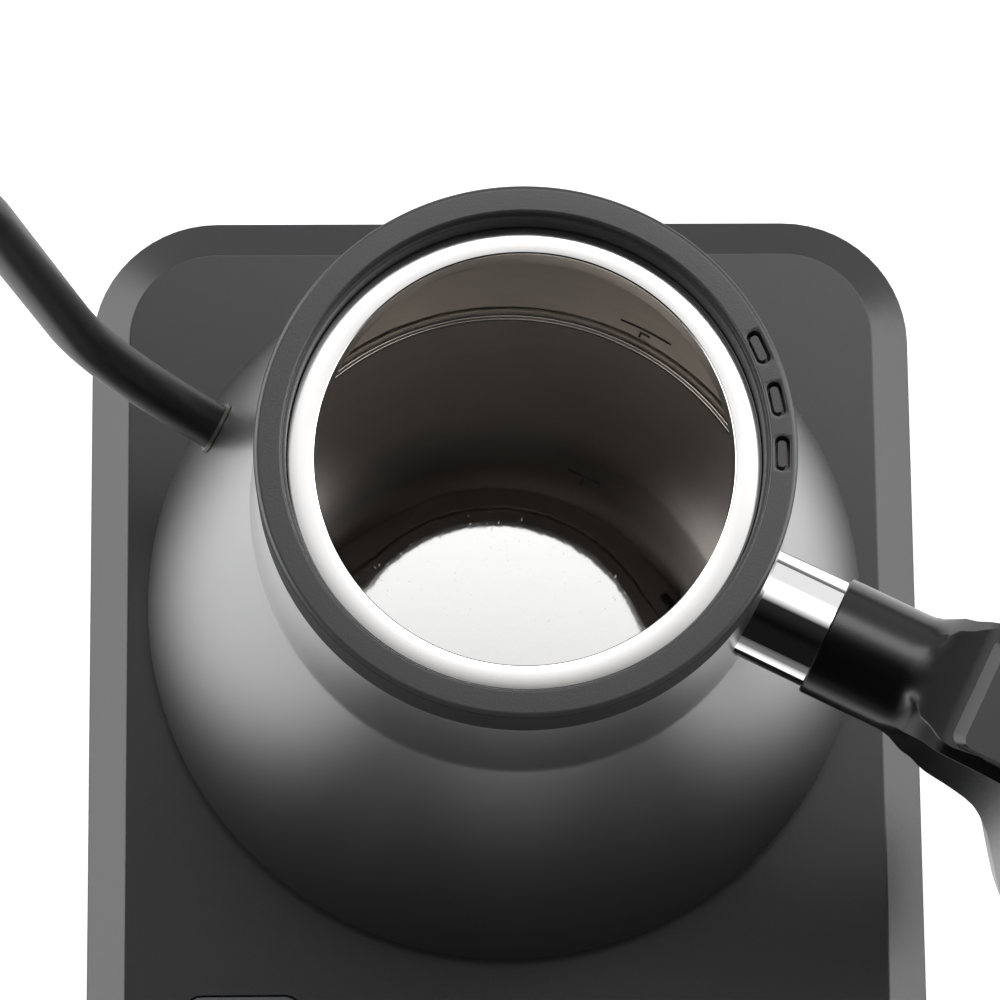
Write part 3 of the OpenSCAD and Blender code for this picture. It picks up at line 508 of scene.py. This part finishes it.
def makeKey(node, piece, k):
    lo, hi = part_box(node)
    mid, size = middleAndSize(node)
    low, high = lo.z / mm, hi.z / mm
    bm = bmesh.new()
    slab(bm, size.x - 2 * k["flange"], size.y - 2 * k["flange"], k["corner"], k["flangeHigh"],
         high, (mid.x, mid.y), 6)
    softened(bm, k["edge"], over=60, below=120, above=high - 0.01)
    slab(bm, size.x, size.y, k["corner"], k["flangeLow"], k["flangeHigh"], (mid.x, mid.y), 6)
    stem = Matrix.Translation((mid.x, mid.y, (k["flangeLow"] + low) / 2))
    drill(bm, k["stem"], k["flangeLow"] - low, stem, 24)
    evenShading(keep(bm, piece, node, "keyPlastic", [node]))


makeBase(base, keys)
for node, piece in keys["pieces"].items():
    makeKey(node, piece, keys)
print("base and keys made")

# the body: a cone with an upright neck over it
vessel = {
    "rim": 73.4, "rimLow": 34.0, "rimRound": 1.3, "rimRise": 1.4, "hem": 2.2, "shoulder": 49.1,
    "shoulderAt": 134.0, "shoulderRound": 1.6, "neck": 47.0, "neckAt": 167.0, "spigot": 46.6,
    "ledge": 171.0, "steel": 1.0,
}


def wallRadius(v, z):
    # the cone's outside at a height
    tall = v["shoulderAt"] - v["rimLow"] - v["rimRise"]
    return v["shoulder"] + (v["rim"] - v["shoulder"]) * (v["shoulderAt"] - z) / tall


def makeVessel(v):
    t = v["steel"]
    outline = [
        (v["rim"] - v["hem"], v["rimLow"], 0), (v["rim"], v["rimLow"], v["rimRound"]),
        (v["shoulder"], v["shoulderAt"], v["shoulderRound"]), (v["neck"], v["neckAt"], 0.15),
        (v["spigot"], v["neckAt"] + 0.2, 0), (v["spigot"], v["ledge"], 0),
        (v["spigot"] - t, v["ledge"], 0), (v["spigot"] - t, v["neckAt"] - t, 0),
        (v["shoulder"] - t, v["shoulderAt"], v["shoulderRound"]),
        (v["rim"] - t, v["rimLow"] + t + 0.3, 0.2), (v["rim"] - v["hem"], v["rimLow"] + t, 0),
    ]

    # the inside takes the brushed steel with its painted light and shade
    def inside(face):
        middle = face.calc_center_median()
        return int(face.normal.x * middle.x + face.normal.y * middle.y < -0.01)

    keep(spun(outline), "vesselShell", "kettle", ["bodyPaint", "brushedSteel"],
         ["vessel"], pick=inside)


makeVessel(vessel)

# the polished floor with its pressed ring
floorPan = {
    "middle": 55.0, "dish": 0.1, "level": 54.6, "ringIn": 54.9, "ringOut": 57.7, "ringHigh": 55.3,
    "ringEdge": 0.7, "edge": 53.9, "reach": 67.2, "round": 0.35, "steel": 1.0,
}


def makeFloor(f):
    corner, inset = f["round"], f["ringEdge"]
    top = [
        (0, f["middle"], 0), (f["ringIn"] / 2, f["middle"] - f["dish"], 0),
        (f["ringIn"], f["level"], corner), (f["ringIn"] + inset, f["ringHigh"], corner),
        (f["ringOut"] - inset, f["ringHigh"], corner), (f["ringOut"], f["edge"], corner),
        (f["reach"], f["edge"], 0),
    ]
    under = [(r, z - f["steel"], 0) for r, z, _ in reversed(top)]
    keep(spun(top + under), "floorPan", "kettle", "mirrorSteel", ["floor_plate"], sharp=60)


makeFloor(floorPan)

# two level marks on the inner wall; each stroke is (left, right, low, high) from the mark's foot
levelMarks = {
    "angles": (62.0, 64.0), "heights": (67.0, 141.0), "sheet": 0.04, "gap": 0.06,
    "strokes": (
        ((-6, 6, 0, 0.5), (-1.2, 1.2, 1.2, 1.7), (-1.2, -0.7, 1.2, 3.2), (-1.2, 1.2, 2.9, 3.4),
         (0.7, 1.2, 3.2, 5.0), (-1.2, 1.2, 4.7, 5.2)),
        ((-4, 4, 0, 0.5), (-0.25, 0.25, 1.4, 5.2)),
    ),
}


def makeMarks(m):
    bm = bmesh.new()
    for angle, height, strokes in zip(m["angles"], m["heights"], m["strokes"]):
        for left, right, low, high in strokes:
            others = set(bm.verts)
            bmesh.ops.create_grid(bm, x_segments=8, y_segments=2, size=0.5)
            for v in bm.verts:
                if v not in others:
                    z = height + low + (v.co.y + 0.5) * (high - low)
                    away = wallRadius(vessel, z) - vessel["steel"] - m["gap"]
                    aside = left + (v.co.x + 0.5) * (right - left)
                    turned = math.radians(angle) - aside / away
                    v.co = (away * math.cos(turned), away * math.sin(turned), z)
    bmesh.ops.solidify(bm, geom=bm.faces[:], thickness=m["sheet"])
    keep(bm, "levelMarks", "kettle", "wallMark")


makeMarks(levelMarks)

# the mouth: collar with steam vents and a small tab, and the rolled bead inside it
mouth = {
    "outer": 47.1, "top": 182.0, "foot": 167.4, "under": 172.0, "spigot": 46.7, "edge": 1.0,
    "boreEdge": 0.4, "lipIn": 41.6, "lipOut": 42.3, "lipAt": 179.3, "sideFrom": 46.0,
    "tabAngle": 94.6, "tabSize": (0.9, 4.9), "tabRound": 0.3, "tabLow": 3.0, "tabHigh": 1.0,
    "slotAngles": (-1.4, 11.1, 23.6), "slotMiddle": 44.3, "slotLong": 6.2, "slotWide": 2.7,
    "slotDeep": 3.6, "ventFloor": 1.2, "throughLess": (1.2, 1.6), "throughRound": 0.6,
    "throughShift": 0.6, "flare": 1.1, "flareOver": 0.15, "flareLess": 0.2, "slit": (0.5, 2.6),
    "bead": 36.7, "beadOut": 41.5, "crest": 174.4, "hem": 167.9, "ledge": 171.0,
    "ledgeReach": 45.5, "sheet": 0.8,
}


def placesRound(radius, angles):
    out = Matrix.Translation((radius, 0, 0))
    return [Matrix.Rotation(math.radians(angle), 4, "Z") @ out for angle in angles]


def cutThrough(cutter, m, low, high, place):
    # the narrower opening that runs on below a vent
    wide, long = m["slotWide"] - m["throughLess"][0], m["slotLong"] - m["throughLess"][1]
    slab(cutter, wide, long, m["throughRound"], low, high, turn=place)


def makeCollar(m):
    outline = [
        (m["lipIn"], m["under"], 0), (m["lipIn"], m["lipAt"], 0.3), (m["lipOut"], m["lipAt"], 0.15),
        (m["lipOut"], m["top"], m["boreEdge"]), (m["outer"], m["top"], m["edge"]),
        (m["outer"], m["foot"], 0.3), (m["spigot"], m["foot"], 0), (m["spigot"], m["under"], 0),
    ]

    # the outer side faces take the darker copy of the collar plastic: painted shade
    def side(face):
        return int(abs(face.normal.z) < 0.4 and face.calc_center_median().xy.length > m["sideFrom"])

    bm = spun(outline)
    slab(bm, *m["tabSize"], m["tabRound"], m["top"] - m["tabLow"], m["top"] - m["tabHigh"],
         segments=3, turn=placesRound(m["outer"], [m["tabAngle"]])[0])
    collar = keep(bm, "collarRing", "kettle", ["collarPlastic", "collarSide"],
                  ["collar"], pick=side)
    vents, flares = bmesh.new(), bmesh.new()
    wide, long, top = m["slotWide"], m["slotLong"], m["top"]
    for place in placesRound(m["slotMiddle"], m["slotAngles"]):
        slab(vents, wide, long, wide / 2, top - m["slotDeep"] - m["ventFloor"], top + 1, turn=place)
        cutThrough(vents, m, m["under"] - 2, top - 0.6, place)
        flare = slab(flares, wide - m["flareLess"], long - m["flareLess"], wide / 2,
                     top - m["flareOver"], top + m["flareOver"], turn=place)
        middle = flare.calc_center_median()
        for v in flare.verts:
            v.co.xy += (v.co - middle).xy.normalized() * m["flare"]
    cutBy(collar, vents)
    cutBy(collar, flares)
    evenShading(collar)


def makeVents(m):
    # the steel seen at the bottom of each steam vent, with a slit in it; its darkened colour is
    # painted shade
    bm = bmesh.new()
    cutter = bmesh.new()
    low = m["top"] - m["slotDeep"] - m["ventFloor"]
    for place in placesRound(m["slotMiddle"], m["slotAngles"]):
        slab(bm, m["slotWide"] - 0.04, m["slotLong"] - 0.04, m["slotWide"] / 2,
             low, m["top"] - m["slotDeep"], turn=place)
        slab(cutter, *m["slit"], m["slit"][0] / 2, m["top"] - 8, m["top"] + 1, turn=place)
    cutBy(keep(bm, "ventFloors", "kettle", "ventMetal"), cutter)


def makeMouthBead(m):
    r, out, z, t = m["bead"], m["beadOut"], m["crest"], m["sheet"]
    under = z - t - 0.4
    outline = [
        (r, m["hem"], 0), (r, z, 0.35), (out, z, 0.5), (out, m["ledge"] + t, 0.3),
        (m["ledgeReach"], m["ledge"] + t, 0), (m["ledgeReach"], m["ledge"], 0),
        (out - t, m["ledge"], 0.3), (out - t, under, 0.5), (r + t, under, 0.5),
        (r + t, m["hem"], 0),
    ]

    # the bead's wall below the crest takes the brushed steel, with its painted shade at this height
    def wall(face):
        return int(face.calc_center_median().z < z - 0.5)

    bead = keep(spun(outline), "mouthBead", "kettle", ["polishedSteel", "brushedSteel"],
                ["mouth_ring"], pick=wall)
    cutter = bmesh.new()
    for place in placesRound(m["slotMiddle"] - m["throughShift"], m["slotAngles"]):
        cutThrough(cutter, m, m["ledge"] - 1, m["ledge"] + 3, place)
    cutBy(bead, cutter)


makeCollar(mouth)
makeVents(mouth)
makeMouthBead(mouth)
print("body, floor and mouth made")

# the spout's tube: angles above level in degrees, and the lengths between the bends
spout = {
    "rootAt": 72.6, "leave": 30.0, "run": 13.0, "lowBend": 44.6, "climb": 77.8, "rise": 54.0,
    "topBend": 22.0, "tipDown": 38.0, "tip": 9.0, "tube": 4.6, "wall": 0.8, "sunk": 2.4,
    "rootIn": 0.5,
}


def makeSpout(s):
    # drawn towards +X, then turned to the spout's side
    lean = math.radians(s["leave"])
    root = wallRadius(vessel, s["rootAt"])
    along = Vector((math.cos(lean), 0, math.sin(lean)))
    place = Vector((root - s["sunk"], 0, s["rootAt"] - s["sunk"] * math.tan(lean)))
    start = Matrix.Translation(place) @ Matrix.Rotation(math.pi / 2 - lean, 4, "Y")
    bm = bmesh.new()
    ring = bmesh.ops.create_circle(bm, cap_ends=False, segments=48, radius=s["tube"], matrix=start)
    front = list({e for v in ring["verts"] for e in v.link_edges})

    def straight(edges, length):
        out = bmesh.ops.extrude_edge_only(bm, edges=edges)
        moved = [g for g in out["geom"] if isinstance(g, bmesh.types.BMVert)]
        bmesh.ops.translate(bm, vec=along * length, verts=moved)
        place.xyz += along * length
        return [g for g in out["geom"] if isinstance(g, bmesh.types.BMEdge)
                and all(v in moved for v in g.verts)]

    def bend(edges, degrees, radius, steps):
        side = Vector((-along.z, 0, along.x)) * (1 if degrees > 0 else -1)
        verts = list({v for e in edges for v in e.verts})
        middle = place + side * radius
        out = bmesh.ops.spin(bm, geom=verts + edges, cent=middle, axis=(0, -1, 0), dvec=(0, 0, 0),
                             angle=math.radians(degrees), steps=steps, use_merge=False,
                             use_normal_flip=False, use_duplicate=False)
        turn = Matrix.Rotation(-math.radians(degrees), 3, "Y")
        place.xyz = middle + turn @ (place - middle)
        along.xyz = turn @ along
        last = {g for g in out["geom_last"] if isinstance(g, bmesh.types.BMVert)}
        return [e for e in bm.edges if e.verts[0] in last and e.verts[1] in last]

    front = straight(front, s["run"])
    front = bend(front, s["climb"] - s["leave"], s["lowBend"], 20)
    front = straight(front, s["rise"])
    front = bend(front, -s["climb"] - s["tipDown"], s["topBend"], 32)
    straight(front, s["tip"])
    tall, narrowed = vessel["shoulderAt"] - vessel["rimLow"], vessel["rim"] - vessel["shoulder"]
    outwards = Vector((tall, 0, narrowed)).normalized()
    bmesh.ops.bisect_plane(bm, geom=bm.verts[:] + bm.edges[:] + bm.faces[:], dist=0.0001,
                           plane_co=(root - s["rootIn"], 0, s["rootAt"]), plane_no=outwards,
                           clear_inner=True)
    bmesh.ops.remove_doubles(bm, verts=bm.verts[:], dist=0.002)
    bmesh.ops.recalc_face_normals(bm, faces=bm.faces[:])
    bmesh.ops.solidify(bm, geom=bm.faces[:], thickness=s["wall"])
    keep(bm, "spoutTube", "kettle", "spoutPaint", ["spout_tube"], spoutTurn,
         sharp=50)


makeSpout(spout)

# the bright ferrule between the neck and the handle
ferrule = {"height": 147.0, "radius": 10.25, "root": 47.8, "end": 62.1, "wall": 1.2, "lean": 0.03}


def makeFerrule(f):
    bm = bmesh.new()
    start = Matrix.Translation((f["root"], 0, f["height"])) @ Matrix.Rotation(math.pi / 2, 4, "Y")
    ring = bmesh.ops.create_circle(bm, cap_ends=False, segments=128, radius=f["radius"],
                                   matrix=start)
    edges = list({e for v in ring["verts"] for e in v.link_edges})
    out = bmesh.ops.extrude_edge_only(bm, edges=edges)
    moved = [g for g in out["geom"] if isinstance(g, bmesh.types.BMVert)]
    bmesh.ops.translate(bm, vec=(f["end"] - f["root"], 0, 0), verts=moved)
    for v in ring["verts"]:  # the root follows the neck
        neck = math.sqrt(f["root"] ** 2 - v.co.y ** 2)
        v.co.x = neck + f["lean"] * (f["height"] - v.co.z)
    bmesh.ops.recalc_face_normals(bm, faces=bm.faces[:])
    bmesh.ops.solidify(bm, geom=bm.faces[:], thickness=f["wall"])
    keep(bm, "ferruleTube", "kettle", "chrome", ["ferrule"], handleTurn, sharp=40)


makeFerrule(ferrule)

# each line of a section: inner and outer point (distance, height), half width, inner and outer
# chamfer, and how far the round section has turned square
handle = {
    "sections": (
        ((60.6, 136.15), (60.6, 157.85), 10.85, 4.6, 4.6, 0.0),
        ((60.75, 135.9), (60.75, 158.1), 11.1, 4.6, 4.6, 0.0),
        ((61.1, 135.8), (61.1, 158.2), 11.2, 4.6, 4.6, 0.0),
        ((70.0, 135.8), (70.0, 158.2), 11.2, 4.6, 4.6, 0.0),
        ((75.5, 135.8), (75.5, 158.2), 11.2, 4.6, 4.6, 0.0),
        ((77.2, 135.6), (77.2, 158.25), 11.25, 4.5, 4.4, 0.1),
        ((78.8, 135.4), (78.8, 158.45), 11.4, 4.4, 4.1, 0.35),
        ((80.3, 135.1), (80.3, 158.85), 11.55, 4.3, 3.7, 0.7),
        ((81.8, 134.8), (81.8, 159.3), 11.7, 4.2, 3.2, 1.0),
        ((84.0, 134.3), (84.0, 159.95), 11.95, 4.0, 2.6, 1.0),
        ((86.0, 133.7), (86.0, 160.55), 12.6, 3.8, 2.0, 1.0),
        ((87.5, 133.2), (87.5, 160.95), 12.9, 3.7, 1.6, 1.0),
        ((89.0, 132.7), (89.0, 161.0), 13.0, 3.6, 1.5, 1.0),
        ((91.2, 131.4), (93.5, 161.1), 13.0, 3.4, 2.0, 1.0),
        ((93.6, 129.4), (99.5, 161.1), 13.0, 3.3, 3.1, 1.0),
        ((95.6, 127.0), (106.0, 161.1), 13.0, 3.3, 4.4, 1.0),
        ((97.0, 124.4), (112.8, 161.0), 13.0, 3.3, 5.4, 1.0),
        ((97.8, 122.0), (115.8, 157.0), 13.0, 3.3, 5.8, 1.0),
        ((98.6, 119.0), (117.6, 149.0), 13.0, 3.3, 6.0, 1.0),
        ((99.8, 114.0), (119.2, 137.0), 13.0, 3.3, 6.0, 1.0),
        ((101.6, 105.0), (121.6, 117.0), 13.0, 3.3, 6.0, 1.0),
        ((104.8, 88.0), (126.2, 93.0), 13.0, 3.3, 6.0, 1.0),
        ((108.6, 68.0), (130.8, 70.0), 13.0, 3.3, 6.0, 1.0),
        ((112.3, 49.1), (134.3, 49.1), 13.0, 3.3, 6.0, 1.0),
    ),
    "capSections": (
        ((112.4, 48.9), (134.4, 48.9), 13.0, 3.3, 6.0, 1.0),
        ((113.2, 45.0), (135.1, 45.0), 13.0, 3.3, 6.0, 1.0),
    ),
    "perSide": 6, "edge": 0.6, "edgeAngle": 28, "sharp": 30,
}


def sectionPoint(k, count, section):
    # point k round a section: a circle that turns into a chamfered oblong
    (xi, zi), (xo, zo), half, cutIn, cutOut, square = section
    tall = math.hypot(xo - xi, zo - zi) / 2
    side, step = divmod(k, count)
    share = step / count
    angle = math.radians(-22.5 + 45 * (side + share))
    circle = Vector((half * math.cos(angle), tall * math.sin(angle)))
    corners = [(half, -tall + cutIn), (half, tall - cutOut), (half - cutOut, tall),
               (-half + cutOut, tall), (-half, tall - cutOut), (-half, -tall + cutIn),
               (-half + cutIn, -tall), (half - cutIn, -tall)]
    a, b = Vector(corners[side]), Vector(corners[(side + 1) % 8])
    u, v = circle.lerp(a.lerp(b, share), square)
    across = v / tall / 2 + 0.5
    return Vector((xi + (xo - xi) * across, u, zi + (zo - zi) * across))


def loft(sections, perSide):
    bm = bmesh.new()
    ring = bmesh.ops.create_circle(bm, cap_ends=True, segments=8 * perSide, radius=1)["verts"]
    for k, v in enumerate(ring):
        v.co = sectionPoint(k, perSide, sections[0])
    edges = list(bm.edges)
    for section in sections[1:]:
        out = bmesh.ops.extrude_edge_only(bm, edges=edges)
        fresh = [g for g in out["geom"] if isinstance(g, bmesh.types.BMVert)]
        partner = {}
        for v in ring:
            partner[v] = [e.other_vert(v) for e in v.link_edges if e.other_vert(v) in fresh][0]
        ring = [partner[v] for v in ring]
        for k, v in enumerate(ring):
            v.co = sectionPoint(k, perSide, section)
        edges = [e for e in bm.edges
                 if e.verts[0] in ring and e.verts[1] in ring and len(e.link_faces) == 1]
    bmesh.ops.contextual_create(bm, geom=edges)
    return bm


def makeHandle(h):
    grip = keep(loft(h["sections"], h["perSide"]), "handleMoulding", "kettle",
                "handlePlastic", ["handle_sleeve", "grip_left", "grip_right"], handleTurn,
                h["sharp"])
    cap = keep(loft(h["capSections"], h["perSide"]), "gripCap", "kettle",
               "thumbPlastic", ["grip_cap"], handleTurn, h["sharp"])
    for ob in (grip, cap):
        bevel = ob.modifiers.new("edges", "BEVEL")
        bevel.width = h["edge"] * mm
        bevel.segments = 3
        bevel.limit_method = "ANGLE"
        bevel.angle_limit = math.radians(h["edgeAngle"])
        evenShading(ob)


makeHandle(handle)

# the thumb plate on the elbow, with a long slope at its front
thumb = {
    "start": 87.7, "end": 113.8, "half": 10.9, "low": 160.2, "high": 162.3, "corner": 2.4,
    "border": 0.5, "borderDrop": 0.35, "slope": 2.6, "slopeDrop": 1.6,
}


def makeThumbPlate(t):
    bm = bmesh.new()
    top = slab(bm, t["end"] - t["start"], 2 * t["half"], t["corner"], t["low"], t["high"],
               ((t["start"] + t["end"]) / 2, 0), 6)
    bmesh.ops.inset_region(bm, faces=[top], thickness=t["border"], depth=0, use_even_offset=True)
    for v in bm.verts:
        if v.co.z > t["high"] - 0.01:
            if v not in top.verts:
                front = v.co.x < t["start"] + t["corner"]
                v.co.z -= t["slopeDrop"] if front else t["borderDrop"]
            elif v.co.x < t["start"] + 2:
                v.co.x += t["slope"] - t["border"]
    plate = keep(bm, "thumbPlate", "kettle", "thumbPlastic", ["thumb_plate"],
                 handleTurn, sharp=12)
    evenShading(plate)


makeThumbPlate(thumb)
print("spout and handle made")

# finishes of the parts that keep their own shape, by material slot, and by node where one differs
carried = {
    "steel": "polishedSteel", "chrome": "chrome", "aluminium": "castAluminium",
    "heater_tube": "heaterSheath", "wire": "wireSleeve", "screw_steel": "screwSteel",
    "black_plastic": "blackPlastic", "collar_plastic": "collarPlastic",
    "handle_plastic": "handlePlastic", "thumb_plastic": "thumbPlastic",
    "base_plastic": "basePaint", "key_plastic": "keyPlastic", "display_glass": "darkGlass",
    "display_body": "partPlastic", "rubber": "rubber", "silicone": "silicone",
    "circuit_board": "circuitBoard", "terminal_plastic": "terminalPlastic",
    "copper_winding": "woundCopper", "brass": "brass", "painted_steel": "bodyPaint",
}
special = {"spout_ring": "ventMetal"}
for part in frame["record"]["subparts"]:
    ob = nodes[part["node"]]
    ob.data.materials.clear()
    look = special.get(part["node"], carried[part["material_slot"]])
    ob.data.materials.append(finish[look])

# the sky is even for what it lights and white where it is seen; mirrored, it is bright at the
# back and dark at the front and the upper left. The floor's mirror image darkens in front and far
# behind. The panels' places are in metres.
studio = {
    "sky": 0.5, "frontDark": 0.02, "frontFrom": -0.01, "frontTo": 0.45, "backWhite": 2.3,
    "sideWhite": 0.9, "low": 0.4, "lowTo": 0.6, "highFrom": 0.85, "leftWhite": 0.08,
    "leftDark": -0.3, "leftFrom": -0.02,
    "floor": (0.82, 0.82, 0.82), "floorSize": 6, "floorGlow": 0.45, "floorFrom": -0.4,
    "floorTo": -0.16, "farFrom": 0.42, "farTo": 0.7, "far": 0.15,
    "aim": (0, 0, 0.1),
    "panels": {
        "leftPanel": {"at": (-1.2, 0.35, 0.65), "size": (1.7, 1.0), "power": 25},
        "rightPanel": {"at": (1.25, 0.15, 0.7), "size": (1.2, 1.0), "power": 18},
        "backPanel": {"at": (0.32, 0.68, 1.55), "size": (1.4, 0.6), "power": 7},
    },
}


def makeSky(s):
    world = bpy.data.worlds.new("studio")
    scene.world = world
    world.use_nodes = True
    tree = world.node_tree

    def add(kind, sockets=None, **settings):
        node = tree.nodes.new(kind)
        for key, value in settings.items():
            setattr(node, key, value)
        for key, value in (sockets or {}).items():
            if isinstance(value, bpy.types.NodeSocket):
                tree.links.new(value, node.inputs[key])
            else:
                node.inputs[key].default_value = value
        return node.outputs

    def maths(kind, *values):
        return add("ShaderNodeMath", dict(enumerate(values)), operation=kind)[0]

    def ramp(value, start, end, first, last, kind="LINEAR"):
        sockets = {0: value, 1: start, 2: end, 3: first, 4: last}
        return add("ShaderNodeMapRange", sockets, interpolation_type=kind)[0]

    way = add("ShaderNodeSeparateXYZ", {0: add("ShaderNodeTexCoord")["Generated"]})
    behind = maths("MULTIPLY_ADD", maths("MULTIPLY", way[0], way[0]), s["sideWhite"], way[1])
    white = ramp(behind, s["frontFrom"], s["frontTo"], s["frontDark"], s["backWhite"])
    tall = ramp(way[2], s["lowTo"], s["highFrom"], 0.0, 1.0, "SMOOTHSTEP")
    right = ramp(way[0], s["leftDark"], s["leftFrom"], s["leftWhite"] - s["low"], 1.0 - s["low"],
                 "SMOOTHSTEP")
    white = maths("MULTIPLY", white, maths("MULTIPLY_ADD", tall, right, s["low"]))
    rays = add("ShaderNodeLightPath")
    mirrored = maths("MAXIMUM", rays["Is Glossy Ray"], rays["Is Transmission Ray"])
    unseen = add("ShaderNodeMix", {0: mirrored, 2: s["sky"], 3: white})[0]
    shown = add("ShaderNodeMix", {0: rays["Is Camera Ray"], 2: unseen, 3: 1.0})[0]
    tree.links.new(shown, tree.nodes["Background"].inputs["Color"])
    tree.nodes["Background"].inputs["Strength"].default_value = 1.0


def makePanels(s):
    for name, panel in s["panels"].items():
        lamp = bpy.data.lights.new(name, "AREA")
        lamp.shape = "RECTANGLE"
        lamp.size, lamp.size_y = panel["size"]
        lamp.energy = panel["power"]
        ob = bpy.data.objects.new(name, lamp)
        scene.collection.objects.link(ob)
        ob.location = panel["at"]
        ob.rotation_euler = (Vector(s["aim"]) - ob.location).to_track_quat("-Z", "Y").to_euler()


def makeStudioFloor(s):
    bm = bmesh.new()
    bmesh.ops.create_grid(bm, x_segments=1, y_segments=1, size=s["floorSize"])
    mesh = bpy.data.meshes.new("studioFloor")
    bm.to_mesh(mesh)
    bm.free()
    floor = bpy.data.objects.new("studioFloor", mesh)
    scene.collection.objects.link(floor)
    f = Finish("paleFloor", Roughness=0.8, IOR=1.3)
    rays = f.add("ShaderNodeLightPath")
    mirrored = rays["Is Glossy Ray"] + rays["Is Transmission Ray"]
    ahead = f.add("ShaderNodeSeparateXYZ", None, {"Vector": f.place})[1]
    far = f.ramp(ahead, s["farFrom"], s["farTo"])
    fade = f.ramp(ahead, s["floorFrom"], s["floorTo"])
    pale = f.blend(f.noise(scale=2), tinted(s["floor"], 0.99), s["floor"])
    f.feed(Base_Color=f.blend((far + 1 - fade) * mirrored, pale, (s["far"],) * 3))
    shown = rays["Is Camera Ray"] + mirrored * fade * (1 - far)
    glow = f.add("ShaderNodeEmission", None,
                 {"Color": (1, 1, 1, 1), "Strength": shown * s["floorGlow"]})[0]
    both = f.add("ShaderNodeAddShader", None, {0: Value(f, f.shader.outputs[0]), 1: glow})[0]
    f.plug(f.tree.nodes["Material Output"].inputs["Surface"], both)
    mesh.materials.append(f.material)


makeSky(studio)
makePanels(studio)
makeStudioFloor(studio)
scene.view_settings.view_transform = "Standard"
print("studio made")
